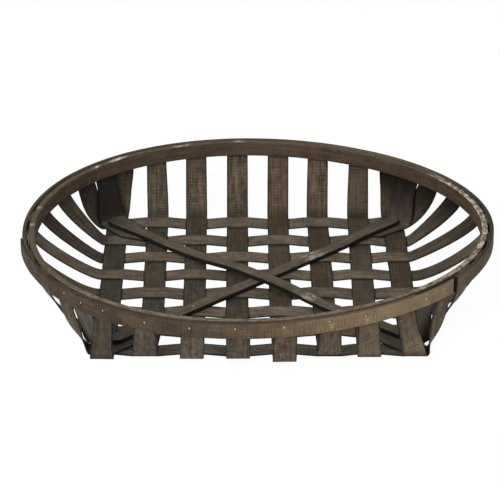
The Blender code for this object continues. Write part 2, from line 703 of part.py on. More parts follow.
def build():
    clear_scene()
    splint_wood = make_material("splint_wood", (78, 69, 61), 0.8)
    crosswise_wood = make_material("crosswise_wood", (95, 87, 79), 0.8)
    hoop_wood = make_material("hoop_wood", (138, 128, 114), 0.75)
    band_wood = make_material("band_wood", (116, 98, 82), 0.75)
    slat_wood = make_material("slat_wood", (110, 102, 87), 0.75)
    nail_steel = make_material("nail_steel", (186, 180, 168), 0.4, metallic=1.0)

    ends = splint_ends()
    rim = Rim(ends)
    lengthwise = [lengthwise_splint(rim, ends, i, splint_wood) for i in range(COUNT)]
    crosswise = [crosswise_splint(rim, ends, i, crosswise_wood) for i in range(COUNT)]
    corners = [corner_splint(rim, ends, corner, splint_wood) for corner in CORNER_ANGLES]
    slats = [brace_slat("upper_brace_slat", UPPER_SLAT_TIPS, LOWER_SLAT_TIPS, True, slat_wood),
             brace_slat("lower_brace_slat", LOWER_SLAT_TIPS, UPPER_SLAT_TIPS, False, slat_wood)]
    hoops = [bent_hoop("inner_hoop", rim, inner_hoop_keys(), RIM_TOP - HOOP_HEIGHT, hoop_wood),
             bent_hoop("rear_band", rim, rear_band_keys(), RIM_TOP - BAND_HEIGHT, band_wood),
             bent_hoop("front_band", rim, front_band_keys(), RIM_TOP - BAND_HEIGHT, band_wood)]

    rim_seats = rim_nail_seats(rim, ends)
    nailed = [seat for end, seat in rim_seats.items() if end != LOST_NAIL]
    for number, (seat, axis, length) in enumerate(nailed, 1):
        bm = bmesh.new()
        add_nail(bm, seat, axis, length, GAP)
        add_object(f"rim_nail_{number:02}", bm, nail_steel, smooth_angle=40)

    upper_slat, lower_slat = slats
    upper_seats = brace_nail_seats(UPPER_SLAT_TIPS, LOWER_SLAT_TIPS, True)
    lower_seats = brace_nail_seats(LOWER_SLAT_TIPS, UPPER_SLAT_TIPS, False)
    rim_holes = hole_cutter("rim_nail_holes", rim_seats.values(), nail_steel)
    upper_holes = hole_cutter("upper_slat_nail_holes", upper_seats, nail_steel)
    lower_holes = hole_cutter("lower_slat_nail_holes", lower_seats, nail_steel)
    for obj in lengthwise + crosswise + corners:
        for holes in (rim_holes, upper_holes, lower_holes):
            combine(obj, holes, "DIFFERENCE")
    for obj in hoops:
        combine(obj, rim_holes, "DIFFERENCE")
    combine(lower_slat, upper_holes, "DIFFERENCE")
    combine(lower_slat, driven_nails("lower_slat_nails", lower_seats, nail_steel), "UNION")
    combine(upper_slat, driven_nails("upper_slat_nails", upper_seats, nail_steel), "UNION")


build()
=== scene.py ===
"""Tobacco basket: the finished look of its woven splints, bent hoop and bands, brace
slats and nails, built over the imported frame.

Metres, +Z up, -Y to the front. Angles run round the rim in degrees from +X.
"""

import math

import bmesh
import bpy
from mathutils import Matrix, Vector


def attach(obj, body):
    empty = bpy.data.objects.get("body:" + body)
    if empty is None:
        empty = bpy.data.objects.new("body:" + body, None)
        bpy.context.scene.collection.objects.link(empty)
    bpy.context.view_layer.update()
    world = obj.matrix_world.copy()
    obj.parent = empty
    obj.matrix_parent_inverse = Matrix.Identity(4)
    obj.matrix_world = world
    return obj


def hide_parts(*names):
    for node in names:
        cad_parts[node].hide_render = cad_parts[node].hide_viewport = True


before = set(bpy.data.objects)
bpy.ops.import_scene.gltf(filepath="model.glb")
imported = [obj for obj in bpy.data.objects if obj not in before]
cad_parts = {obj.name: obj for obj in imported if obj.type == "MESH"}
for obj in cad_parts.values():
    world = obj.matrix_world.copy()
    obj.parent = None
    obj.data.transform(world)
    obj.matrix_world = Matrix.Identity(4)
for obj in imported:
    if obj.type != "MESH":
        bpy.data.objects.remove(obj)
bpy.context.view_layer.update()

MM = 0.001


def mm(*lengths):
    return [length * MM for length in lengths]


UP = Vector((0.0, 0.0, 1.0))
BODY = "root"

# Splints, as laid in the frame
SPLINT_THICKNESS = 1.8 * MM
# How far a drawn splint's faces lie inside the frame's, and how far they wander
SPLINT_EASE = 0.06 * MM
LENGTHWISE_WIDTH = 27.3 * MM
CROSSWISE_WIDTHS = mm(30.5, 29.0, 28.0, 27.6, 29.2, 28.0, 27.0, 26.0)
CORNER_WIDTH = 32.0 * MM
GAP = 0.3 * MM
# Base weave: even pitch, with the drift of each splint; the lengthwise ones also bow at one row
PITCH = 50.8 * MM
BASE_CENTRE_Y = 0.0
BACK_DRIFT = mm(-3.0, -2.0, -2.9, -0.9, 0.5, 0.7, 1.9, -4.2)
BOW_DRIFT = mm(-1.0, 1.0, -0.7, -0.2, 1.2, 2.4, -0.2, -1.8)
FRONT_DRIFT = mm(-2.7, -3.8, -1.2, 1.2, 3.6, 5.1, 0.4, 1.9)
BOW_ROW = 5
CROSSWISE_DRIFT = mm(1.7, -1.1, 0.2, 0.5, 0.3, 0.7, 2.0, 4.5)
FLAT_MARGIN = 1.3 * MM

# Rim: an oval a little blunter on the left and skewed, as the hoops were bent by hand
RIM_HALF_WIDTH = 284.4 * MM
RIM_HALF_DEPTH = 268.6 * MM
RIM_EGG = 0.016
RIM_SKEW = 0.009
RIM_TOP = 84.0 * MM
RIM_EASE = 0.4 * MM
HEIGHT_EASE = 0.25 * MM
BAND_HEIGHT = 19.4 * MM
HOOP_HEIGHT = 19.6 * MM
BAND_THICKNESS = 4.8 * MM
HOOP_THICKNESS = 8.2 * MM
SPLINT_BELOW_TOP = 1.2 * MM
CUT_VARIES = 1.2 * MM
# Where each splint end meets the rim, in degrees
BACK_ANGLES = (117.7, 106.6, 95.5, 84.5, 73.5, 61.6)
FRONT_ANGLES = (243.4, 254.8, 265.2, 276.1, 287.0, 297.3)
LEFT_ANGLES = (151.3, 163.0, 174.7, 186.2, 198.0, 209.0)
RIGHT_ANGLES = (387.2, 374.7, 364.0, 352.6, 340.5, 331.0)
CORNER_ANGLES = {"back_left": 133.9, "front_left": 225.7, "front_right": 315.3, "back_right": 45.5}
END_SPACING = 1.25 * MM
SIDE_SPACING = 2.9 * MM

# Bands and hoop: where their ends lap, in degrees, and how those ends stand
LEFT_LAP = (189.0, 203.0)
LEFT_LAP_PROUD = 2.3 * MM
LEFT_LAP_TIP = 2.2 * MM
RIGHT_LAP = (311.0, 324.4)
RIGHT_SLOT = 3.0 * MM
RIGHT_LAP_PROUD = 2.0 * MM
RIGHT_LAP_RUN_OUT = 14.0
HOOP_LAP = (33.0, 47.0)
LAP_STEP = 0.5 * MM

# Walls: how roundly each splint turns up past the weave, how far the front ones run on
# flat before that, and how they rise
LEFT_REACH = mm(9.0, 4.0, 7.0, 11.0, 20.0, 18.0, 12.0, 4.0)
RIGHT_REACH = mm(1.5, 4.0, 3.0, 24.0, 22.0, 18.0, 12.0, 2.0)
BACK_REACH = 14.0 * MM
FRONT_REACH = mm(13.0, 7.0, 13.0, 16.0, 22.0, 6.0, 9.0, 7.0)
FRONT_RUN = mm(3.1, 0.1, 0.9, 2.8, 5.3, -2.7, -1.3, -0.5)
WALL_LEAN = 0.14
LEFT_LEAN = (0.17, 0.2, 0.17, 0.14, 0.14, 0.14, 0.14, 0.14)
RIGHT_LEAN = (0.17, 0.2, 0.14, 0.12, 0.14, 0.14, 0.14, 0.3)
WALL_RISE = 22.0 * MM
CORNER_TWIST_DONE = 0.75
SANDWICH_ENTRY = 2.5 * MM
CORNER_WALL_WIDTH = 40.0 * MM
# Shares of a corner splint's wall between which it is drawn in
CORNER_NARROWS = 0.35
CORNER_NARROWED = 0.85
CORNER_TIP_REACH = 68.0 * MM
CORNER_TIP_SHIFT = {"back_left": 14.0 * MM, "front_left": 0.0,
                    "front_right": 0.0, "back_right": 0.0}
CORNER_TIP_WIDTH = 5.0 * MM
CORNER_TIP_TAPER = 26.0 * MM
CORNER_FLATS = {"back_left": 67.4 * MM, "front_left": 67.0 * MM,
                "front_right": 66.5 * MM, "back_right": 67.4 * MM}
CORNER_FOLD_REACH = 12.0 * MM
CORNER_FOLD_RISE = 32.0 * MM
CORNER_FOLD_LEAN = 13.0 * MM

# Brace slats: section, tips in plan and how they ride over what lies under them
SLAT_WIDTH = 16.5 * MM
SLAT_THICKNESS = 5.5 * MM
UPPER_SLAT_TIPS = (mm(-189.4, 170.9), mm(177.0, -155.4))
LOWER_SLAT_TIPS = (mm(178.0, 173.5), mm(-171.5, -166.0))
SLAT_TIP_WIDTH = 8.0 * MM
SLAT_TIP_TAPER = 7.0 * MM
SLAT_END_FLAT = 65.0 * MM
SLAT_END_RAMP = 38.0 * MM
SLAT_CROSSING_FLAT = 22.0 * MM
SLAT_CROSSING_RAMP = 92.0 * MM

# Nails
NAIL_LEVEL = RIM_TOP - BAND_HEIGHT / 2
NAIL_SHANK_RADIUS = 0.9 * MM
NAIL_HEAD_RADIUS = 1.7 * MM
NAIL_HEAD_HEIGHT = 0.8 * MM
NAIL_SHANK_SHOWN = 4.0 * MM
NAIL_TILT = 0.12
NAIL_UNDERSIDE = 0.35
NAIL_ROUNDNESS = 0.3
BRACE_NAIL_INSET = 11.0 * MM
BRACE_NAIL_SHIFT = 4.5 * MM
BRACED_SPLINTS = (2, 5)
LOST_NAIL = ("front", 7)
# Run to the right and rise of each front nail from the middle of its splint end
NAIL_OFFSETS = {
    ("left", 7): mm(5.6, 4.0), "front_left": mm(2.8, 2.0), ("front", 0): mm(4.8, 2.6),
    ("front", 1): mm(2.6, 1.1), ("front", 2): mm(-2.3, 1.5), ("front", 3): mm(-3.3, 3.5),
    ("front", 4): mm(-2.4, 3.3), ("front", 5): mm(-3.0, 4.0), ("front", 6): mm(-7.0, 2.6),
    "front_right": mm(-6.2, 0.8), ("right", 7): mm(-9.0, 2.7),
}

# Colours of what lies on the wood, and of the painted shade
STAIN = "3F3529"
GREY = "3B3D38"
COOL_DIRT = "34352D"
WARM_DIRT = "3E3022"
GOLDEN = "9C8A70"
# Near-black painted shade, for the back corners and for steep sides
PAINTED_SHADE = "1F1E1A"
# Painted shade in the saw marks' grooves
SAW_SHADE = "1C1610"
# Near-black for darkening: dirt on the bands, painted shade in the back corners and in the rear band's slot
GRIME_AND_SHADE = "120E0B"
OCHRE = "A08858"
RUST = "33271C"

# How strong the looks are
SHADE_REACH = 1.2
# Share of the painted shade in the saw marks
SAW_SHADE_SHARE = 0.6
GRAIN_RELIEF = 0.12 * MM
WOOD_SHEEN = 0.12
RUST_SPOTS = 700.0
RUST_RELIEF = 0.1 * MM
OCHRE_RUN = Vector((2.5 * MM, 0.0, -6.0 * MM))
# Angles between which the rim's nails are bright, and how bright each kind of nail is
BRIGHT_NAILS = (215, 330)
BRIGHT = 1.0
DULL = 0.15
FRONT_LEFT_KNOT_BRIGHT = 0.9
KNOT_BRIGHT = 0.2

# How light and how red each splint is, from the left and from the back
LENGTHWISE_LOOKS = ((0.52, 0.0), (0.55, 0.4), (0.52, 0.45), (0.45, 0.5),
                    (0.5, 0.75), (0.45, 0.7), (0.9, 0.5), (0.56, 0.65))
CROSSWISE_LOOKS = ((0.6, 0.45), (0.55, 0.25), (0.6, 0.6), (0.55, 0.5),
                   (0.42, 0.55), (0.5, 0.5), (0.45, 0.5), (0.32, 0.35))
CORNER_LOOKS = {"back_left": (0.7, 0.1), "front_left": (0.45, 0.55),
                "front_right": (0.45, 0.65), "back_right": (0.4, 0.9)}

# How much darker each splint's walls are painted, at the foot and at the rim, most in the back corners,
# where it is painted shade; below 0 is rubbed pale
LEFT_DARKENING = ((0.45, 0.8), (0.48, 0.48), (0.58, 0.7), (0.05, 0.0),
             (0.1, 0.1), (0.1, 0.1), (0.1, 0.1), (0.1, 0.1))
RIGHT_DARKENING = ((0.5, 1.0), (0.35, 1.0), (0.48, 0.75), (0.48, 0.15),
              (0.5, 0.4), (0.3, 0.3), (0.2, 0.2), (0.1, 0.1))
BACK_DARKENING = ((-0.2, 0.5), (0.0, 0.1), (0.0, 0.0), (0.0, 0.0),
             (0.0, 0.0), (0.0, 0.0), (0.4, 0.45), (0.15, 1.0))
FRONT_DARKENING = ((0.4, 0.4), (0.33, 0.25), (0.0, 0.0), (0.25, 0.25),
              (0.0, 0.0), (0.0, 0.0), (0.0, 0.0), (0.0, 0.0))
CORNER_DARKENING = {"back_left": (0.85, 0.9), "front_left": (0.1, 0.1),
               "front_right": (0.3, 0.3), "back_right": (0.3, 1.0)}
DARKENING_START = 178 * MM
DARKENING_FADE = 20 * MM
CORNER_DARKENING_FADE = 5 * MM

# Scuffed stretches of the hoop: middle, half length and fade in degrees, and how scuffed
HOOP_SCUFFS = ((138, 0, 1.5, 1.0), (130.3, 0, 4.5, 1.0), (110.8, 0, 3.2, 1.0), (169.5, 0, 1.2, 0.5),
               (180.5, 0, 1.3, 0.45), (95, 0, 2, 0.6), (9, 22, 8, 0.8), (333, 18, 10, 0.45),
               (270, 45, 20, 0.15))
# How torn the hoop is at most and at least, and where it is torn most: middle and fade in degrees
HOOP_TORN = (1.0, 0.15, 12, 42)
BAND_TORN = 0.1
# Rear band: dirt past the slot and further on, and the degrees that it takes to change;
# then where it starts to fade, and over how many degrees
REAR_SOIL = (0.4, 0.6, 15, 10, 40)
# Front band: dirt at its left, where it starts to fade, and over how many degrees
FRONT_BAND_SOIL = (0.42, 245, 50)
# Worn places along each slat: place, reach, and how scuffed; below 0 is darker
UPPER_SCUFFS = ((337 * MM, 13 * MM, 0.8), (0.0, 35 * MM, -0.45))
LOWER_SCUFFS = ((152 * MM, 20 * MM, 0.7), (165 * MM, 10 * MM, 0.3))

# Studio
CAMERA_PLACE = (-0.0102, -2.7088, 1.323)
CAMERA_TILT = 64.8
CAMERA_LENS = 177.6
SENSOR = 36.0
VIEW_END = 60.0
FLOOR_SIDE = 40.0
FLOOR_LEVEL = -0.2 * MM
FLOOR_COLOUR = (0.92, 0.92, 0.92, 1.0)
LIT_SHARE = 0.08
FLOOR_GLOW = 1.03
WHITE = (1.0, 1.0, 1.0, 1.0)
SKY_LIGHT = 0.48
# Place, side and power of each lamp, which looks at the middle of the base
LAMPS = {"key": ((-1.2, -2.4, 1.7), 1.6, 73.0), "fill": ((1.6, -1.8, 1.2), 1.4, 9.0)}
LAMP_COLOUR = (1.0, 0.97, 0.925)

# How finely the bars and strips are drawn, how their noise is set, and the angle of a sharp edge
BASE_STEP = 3.0 * MM
WALL_STEPS = 40
END_STEPS = 8
HOOP_STEP = 0.75
STRIP_RING = 28
BAR_RING = 32
SEED_STEP = 7.31
CHIP_SCALE = 240.0
SHARP_FROM = 50

# Worked out from the sizes above
COUNT = len(CROSSWISE_DRIFT)
HALF_COUNT = (COUNT - 1) / 2
WEAVE_RISE = (SPLINT_THICKNESS + GAP) / 2
WEAVE_MIDDLE = SPLINT_THICKNESS + GAP / 2
WEAVE_TOP = 2 * SPLINT_THICKNESS + GAP
CROSSWISE_Y = [(HALF_COUNT - i) * PITCH + BASE_CENTRE_Y + d for i, d in enumerate(CROSSWISE_DRIFT)]
BAND_INNER = SPLINT_THICKNESS / 2 + GAP
BAND_OUTER = BAND_INNER + BAND_THICKNESS
HOOP_OUTER = -BAND_INNER
HOOP_INNER = HOOP_OUTER - HOOP_THICKNESS
RIM_BOTTOM = RIM_TOP - max(BAND_HEIGHT, HOOP_HEIGHT)


# Node trees

class Tree:
    """Adds nodes to one geometry or shader tree and links them as they are made."""

    def __init__(self, tree):
        self.tree = tree
        self.source = tree.nodes.new("NodeGroupInput") if tree.interface.items_tree else None

    def given(self, name):
        return self.source.outputs[name]

    def feed(self, socket, value):
        if isinstance(value, bpy.types.NodeSocket):
            self.tree.links.new(value, socket)
        else:
            socket.default_value = value

    def node(self, kind, inputs=None, **settings):
        node = self.tree.nodes.new(kind)
        for name, value in settings.items():
            setattr(node, name, value)
        for name, value in (inputs or {}).items():
            self.feed(node.inputs[name], value)
        return node

    def math(self, operation, *values, clamp=False):
        given = dict(enumerate(values))
        return self.node("ShaderNodeMath", given, operation=operation, use_clamp=clamp).outputs[0]

    def add(self, *values, clamp=False):
        return self.math("ADD", *values, clamp=clamp)

    def subtract(self, *values, clamp=False):
        return self.math("SUBTRACT", *values, clamp=clamp)

    def multiply(self, *values):
        return self.math("MULTIPLY", *values)

    def divide(self, *values):
        return self.math("DIVIDE", *values)

    def vector(self, operation, *values):
        given = dict(enumerate(values))
        return self.node("ShaderNodeVectorMath", given, operation=operation).outputs[0]

    def times(self, vector, amount):
        given = {0: vector, "Scale": amount}
        return self.node("ShaderNodeVectorMath", given, operation="SCALE").outputs[0]

    def split(self, vector):
        return self.node("ShaderNodeSeparateXYZ", {0: vector}).outputs

    def join(self, x, y, z):
        return self.node("ShaderNodeCombineXYZ", {0: x, 1: y, 2: z}).outputs[0]

    def noise(self, vector, detail=2.0, roughness=0.5, distortion=0.0, scales=None):
        """Noise of about one turn per unit of the vector, which scales stretch first where given."""
        if scales:
            vector = self.vector("MULTIPLY", vector, scales)
        given = {"Vector": vector, "Scale": 1.0, "Detail": detail, "Roughness": roughness,
                 "Distortion": distortion}
        return self.node("ShaderNodeTexNoise", given).outputs[0]

    def ease(self, value, low, high, to_low=0.0, to_high=1.0):
        given = {0: value, 1: low, 2: high, 3: to_low, 4: to_high}
        return self.node("ShaderNodeMapRange", given, interpolation_type="SMOOTHSTEP").outputs[0]

    def blend(self, share, first, second):
        return self.node("ShaderNodeMix", {0: share, 6: first, 7: second}, data_type="RGBA").outputs[2]

    def group(self, tree, inputs):
        return self.node("ShaderNodeGroup", inputs, node_tree=tree).outputs

    def finish(self, **values):
        end = self.tree.nodes.new("NodeGroupOutput")
        for name, value in values.items():
            self.feed(end.inputs[name], value)


def new_tree(name, kind, inputs, outputs):
    """Node tree with named sockets; inputs and outputs map a name to a socket kind and value."""
    tree = bpy.data.node_groups.new(name, kind)
    for in_out, sockets in (("INPUT", inputs), ("OUTPUT", outputs)):
        for socket_name, (socket_kind, value) in sockets.items():
            kind_name = "NodeSocket" + socket_kind
            socket = tree.interface.new_socket(socket_name, in_out=in_out, socket_type=kind_name)
            if value is not None:
                socket.default_value = value
    return Tree(tree)


def named(tree, name, kind):
    return tree.node("GeometryNodeInputNamedAttribute", {"Name": name}, data_type=kind).outputs["Attribute"]


def stored(tree, geometry, name, kind, value):
    given = {"Geometry": geometry, "Name": name, "Value": value}
    return tree.node("GeometryNodeStoreNamedAttribute", given, data_type=kind, domain="POINT").outputs[0]


def with_material(tree, geometry):
    """Realized geometry with the tree's own material on it."""
    real = tree.node("GeometryNodeRealizeInstances", {"Geometry": geometry}).outputs[0]
    given = {"Geometry": real, "Material": tree.given("Material")}
    return tree.node("GeometryNodeSetMaterial", given).outputs[0]


def bent_bar_tree():
    """Bar or strip swept along a line of stations, each with its own width and depth.

    Every point takes its place from the station's centre, the direction across the bar and
    the direction out of its face, so the bar may bend, twist, widen and thin.
    """
    tree = new_tree("bent_bar", "GeometryNodeTree", {
        "Stations": ("Geometry", None), "Ring Points": ("Int", 28), "Corner Sharpness": ("Float", 0.3),
        "Edge Wander": ("Float", 0.3 * MM), "Edge Wander Length": ("Float", 30 * MM),
        "Face Wander": ("Float", 0.1 * MM), "Face Wander Length": ("Float", 15 * MM),
        "Torn Depth": ("Float", 0.0), "Seed": ("Int", 0), "Material": ("Material", None),
    }, {"Bar": ("Geometry", None)})
    line = tree.node("GeometryNodeMeshToCurve", {"Mesh": tree.given("Stations")}).outputs[0]
    ring = tree.node("GeometryNodeCurvePrimitiveCircle", {"Resolution": tree.given("Ring Points")})
    place = tree.node("GeometryNodeInputPosition").outputs[0]
    ring = stored(tree, ring.outputs[0], "ring", "FLOAT_VECTOR", place)
    sweep = tree.node("GeometryNodeCurveToMesh", {"Curve": line, "Profile Curve": ring, "Fill Caps": True})
    ring_x, ring_y, _ = tree.split(named(tree, "ring", "FLOAT_VECTOR"))
    sharpness = tree.given("Corner Sharpness")
    powers = [tree.math("POWER", tree.math("ABSOLUTE", r), sharpness) for r in (ring_x, ring_y)]
    u, v = (tree.multiply(tree.math("SIGN", r), p) for r, p in zip((ring_x, ring_y), powers))
    numbers = ("run", "half_width", "half_depth", "torn")
    run, half_width, half_depth, torn = (named(tree, name, "FLOAT") for name in numbers)
    seed = tree.multiply(tree.given("Seed"), SEED_STEP)
    edge_run = tree.divide(run, tree.given("Edge Wander Length"))
    edge_place = tree.join(edge_run, tree.math("SIGN", ring_x), seed)
    edge = tree.subtract(tree.noise(edge_place, 2.5), 0.5)
    edge = tree.multiply(edge, tree.multiply(tree.given("Edge Wander"), 2.0))
    along_face = tree.join(run, tree.multiply(u, half_width), tree.multiply(v, half_depth))
    per_length = tree.divide(1.0, tree.given("Face Wander Length"))
    face_place = tree.vector("ADD", tree.times(along_face, per_length), tree.join(0.0, 0.0, seed))
    face = tree.subtract(tree.noise(face_place), 0.5)
    face = tree.multiply(face, tree.multiply(tree.given("Face Wander"), 2.0))
    chip_place = tree.vector("ADD", tree.times(along_face, CHIP_SCALE), tree.join(seed, 0.0, 0.0))
    chips = tree.multiply(tree.ease(tree.noise(chip_place, 3.0), 0.45, 0.7), torn)
    chips = tree.multiply(chips, tree.given("Torn Depth"))
    width = tree.subtract(tree.add(half_width, edge), chips)
    depth = tree.subtract(tree.add(half_depth, face), tree.multiply(chips, 0.5))
    vectors = ("centre", "across", "outward")
    centre, across, outward = (named(tree, name, "FLOAT_VECTOR") for name in vectors)
    place = tree.vector("ADD", centre, tree.times(across, tree.multiply(u, width)))
    place = tree.vector("ADD", place, tree.times(outward, tree.multiply(v, depth)))
    given = {"Geometry": sweep.outputs[0], "Position": place}
    placed = tree.node("GeometryNodeSetPosition", given).outputs[0]
    grain = tree.vector("ADD", along_face, tree.join(tree.multiply(seed, 3.0), 0.0, 0.0))
    placed = stored(tree, placed, "grain", "FLOAT_VECTOR", grain)
    from_edge = tree.multiply(half_width, tree.subtract(1.0, tree.math("ABSOLUTE", u)))
    tree.finish(Bar=with_material(tree, stored(tree, placed, "from_edge", "FLOAT", from_edge)))
    return tree.tree


def nail_tree():
    """Nail head with a short shank on every seat, each turned, tilted and rubbed a little differently."""
    tree = new_tree("driven_nails", "GeometryNodeTree", {
        "Seats": ("Geometry", None), "Head Radius": ("Float", NAIL_HEAD_RADIUS),
        "Head Height": ("Float", NAIL_HEAD_HEIGHT), "Shank Radius": ("Float", NAIL_SHANK_RADIUS),
        "Shank Length": ("Float", NAIL_SHANK_SHOWN), "Tilt": ("Float", NAIL_TILT), "Seed": ("Int", 3),
        "Material": ("Material", None),
    }, {"Nails": ("Geometry", None)})
    radius, height = tree.given("Head Radius"), tree.given("Head Height")
    head = tree.node("GeometryNodeMeshUVSphere", {"Segments": 14, "Rings": 10, "Radius": 1.0}).outputs[0]
    x, y, z = tree.split(tree.node("GeometryNodeInputPosition").outputs[0])
    under = tree.math("MAXIMUM", z, -NAIL_UNDERSIDE)
    rim = tree.math("ABSOLUTE", tree.subtract(1.0, tree.multiply(z, z)))
    rim = tree.math("POWER", rim, NAIL_ROUNDNESS)
    length = tree.math("SQRT", tree.add(tree.multiply(x, x), tree.multiply(y, y)))
    widen = tree.divide(tree.multiply(rim, radius), tree.math("MAXIMUM", length, 0.001))
    domed = tree.join(tree.multiply(x, widen), tree.multiply(y, widen), tree.multiply(under, height))
    head = tree.node("GeometryNodeSetPosition", {"Geometry": head, "Position": domed}).outputs[0]
    sizes = {"Vertices": 10, "Radius": tree.given("Shank Radius"), "Depth": tree.given("Shank Length")}
    shank = tree.node("GeometryNodeMeshCylinder", sizes).outputs[0]
    down = tree.join(0.0, 0.0, tree.multiply(tree.given("Shank Length"), -0.5))
    shank = tree.node("GeometryNodeTransform", {"Geometry": shank, "Translation": down}).outputs[0]
    nail = tree.node("GeometryNodeJoinGeometry")
    tree.feed(nail.inputs[0], head)
    tree.feed(nail.inputs[0], shank)
    seed = tree.given("Seed")
    tilt = tree.node("FunctionNodeRandomValue", {"Seed": seed}, data_type="FLOAT_VECTOR")
    tilt.inputs[0].default_value = (-1.0, -1.0, -1.0)
    tilted = tree.times(tilt.outputs[0], tree.given("Tilt"))
    tilted = tree.vector("ADD", named(tree, "axis", "FLOAT_VECTOR"), tilted)
    turn = tree.node("FunctionNodeAlignRotationToVector", {"Vector": tilted}, axis="Z").outputs[0]
    size = tree.node("FunctionNodeRandomValue", {"Seed": seed}, data_type="FLOAT_VECTOR")
    size.inputs[0].default_value = (0.7, 0.7, 0.7)
    size.inputs[1].default_value = (0.9, 0.9, 0.9)
    given = {"Points": tree.given("Seats"), "Instance": nail.outputs[0], "Rotation": turn,
             "Scale": size.outputs[0]}
    tree.finish(Nails=with_material(tree, tree.node("GeometryNodeInstanceOnPoints", given).outputs[0]))
    return tree.tree


def added(name, data):
    obj = bpy.data.objects.new(name, data)
    bpy.context.scene.collection.objects.link(obj)
    return obj


def made_by(tree, name, mesh, values, replaced):
    """Plain mesh object made by a geometry tree from a carrier mesh, riding on the basket's one body."""
    carrier = added(name + "_carrier", mesh)
    modifier = carrier.modifiers.new(tree.name, "NODES")
    modifier.node_group = tree
    for item in tree.interface.items_tree:
        if item.in_out == "INPUT" and item.name in values:
            modifier[item.identifier] = values[item.name]
    graph = bpy.context.evaluated_depsgraph_get()
    evaluated = carrier.evaluated_get(graph)
    made = bpy.data.meshes.new_from_object(evaluated, preserve_all_data_layers=True, depsgraph=graph)
    bpy.data.objects.remove(carrier)
    bpy.data.meshes.remove(mesh)
    made.name = name
    bm = bmesh.new()
    bm.from_mesh(made)
    bmesh.ops.recalc_face_normals(bm, faces=bm.faces)
    bm.to_mesh(made)
    bm.free()
    made.shade_smooth()
    made.set_sharp_from_angle(angle=math.radians(SHARP_FROM))
    piece = added(name, made)
    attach(piece, BODY)
    if replaced:
        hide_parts(*replaced)


def point_mesh(points, vectors, numbers, joined):
    """Mesh of points with attributes, joined into one line where joined is true."""
    mesh = bpy.data.meshes.new("stations")
    edges = [(i, i + 1) for i in range(len(points) - 1)] if joined else []
    mesh.from_pydata([tuple(p) for p in points], edges, [])
    for name, values in vectors.items():
        attribute = mesh.attributes.new(name, "FLOAT_VECTOR", "POINT")
        attribute.data.foreach_set("vector", [c for value in values for c in value])
    for name, values in numbers.items():
        attribute = mesh.attributes.new(name, "FLOAT", "POINT")
        attribute.data.foreach_set("value", values)
    return mesh


def bar(name, stations, values, look, wear_dirt_and_shade):
    """Bar through stations of (centre, across, outward, half width, half depth, torn).

    look is how light and how red its wood is. The last argument is how scuffed each station is above 0,
    and below 0 how much darker: dirt on the bands, painted shade in the back corners and in the rear band's
    slot.
    """
    centres, across, outward, half_widths, half_depths, torn = zip(*stations)
    run = [0.0]
    for near, far in zip(centres, centres[1:]):
        run.append(run[-1] + (far - near).length)
    light, red = look
    vectors = {"centre": centres, "across": across, "outward": outward}
    numbers = {"run": run, "half_width": half_widths, "half_depth": half_depths, "torn": torn,
               "shade": [light] * len(run), "warmth": [red] * len(run), "wear_dirt_and_shade": wear_dirt_and_shade}
    made_by(BENT_BAR, name, point_mesh(centres, vectors, numbers, True), values, [name])


# Curves

def bezier(points, t):
    a, b, c, d = points
    s = 1 - t
    return a * s ** 3 + b * 3 * s * s * t + c * 3 * s * t * t + d * t ** 3


def smooth(t):
    t = min(max(t, 0.0), 1.0)
    return t * t * (3 - 2 * t)


def ramp(t):
    """Rise from 0 to 1 that is straight but for its eased ends."""
    return 0.1 * smooth(t) + 0.9 * t


def rim_line(angle):
    t = math.radians(angle)
    shape = 1 - RIM_EGG * (math.cos(t) - math.cos(3 * t)) + RIM_SKEW * math.sin(2 * t)
    inset = BAND_OUTER + RIM_EASE
    x = (RIM_HALF_WIDTH - inset) * math.cos(t) * shape
    y = (RIM_HALF_DEPTH - inset) * math.sin(t) * shape
    return Vector((x, y, 0.0))


def rim_along(angle):
    return (rim_line(angle + 0.05) - rim_line(angle - 0.05)).normalized()


def rim_outward(angle):
    d = rim_along(angle)
    return Vector((d.y, -d.x, 0.0))


def degrees_for(angle, length):
    return length / (rim_line(angle + 0.5) - rim_line(angle - 0.5)).length


def splint_ends():
    """Every splint end on the rim: name of splint and side, with its angle and width."""
    ends = {}
    for corner, angle in CORNER_ANGLES.items():
        ends[corner] = (angle, CORNER_WIDTH)
        turn = 1 if corner in ("back_left", "front_right") else -1
        row = 0 if "back" in corner else COUNT - 1
        column = 0 if "left" in corner else COUNT - 1
        side_step = (CORNER_WIDTH + CROSSWISE_WIDTHS[row]) / 2 + SIDE_SPACING
        end_step = (CORNER_WIDTH + LENGTHWISE_WIDTH) / 2 + END_SPACING
        side = "left" if "left" in corner else "right"
        end = "back" if "back" in corner else "front"
        ends[side, row] = (angle + turn * degrees_for(angle, side_step), CROSSWISE_WIDTHS[row])
        ends[end, column] = (angle - turn * degrees_for(angle, end_step), LENGTHWISE_WIDTH)
    for i in range(1, COUNT - 1):
        ends["back", i] = (BACK_ANGLES[i - 1], LENGTHWISE_WIDTH)
        ends["front", i] = (FRONT_ANGLES[i - 1], LENGTHWISE_WIDTH)
        ends["left", i] = (LEFT_ANGLES[i - 1], CROSSWISE_WIDTHS[i])
        ends["right", i] = (RIGHT_ANGLES[i - 1], CROSSWISE_WIDTHS[i])
    return {key: (angle % 360, width) for key, (angle, width) in ends.items()}


# Splints

def lengthwise_is_over(column, row):
    return (column + row) % 2 == 0


def lengthwise_x(column, y):
    """Where a lengthwise splint's centre line lies at a place between back and front."""
    bow_y = CROSSWISE_Y[BOW_ROW]
    if y > bow_y:
        end_drift, end_y = BACK_DRIFT[column], CROSSWISE_Y[0]
    else:
        end_drift, end_y = FRONT_DRIFT[column], CROSSWISE_Y[-1]
    share = (y - bow_y) / (end_y - bow_y)
    bow_drift = BOW_DRIFT[column]
    return (column - HALF_COUNT) * PITCH + bow_drift + (end_drift - bow_drift) * share


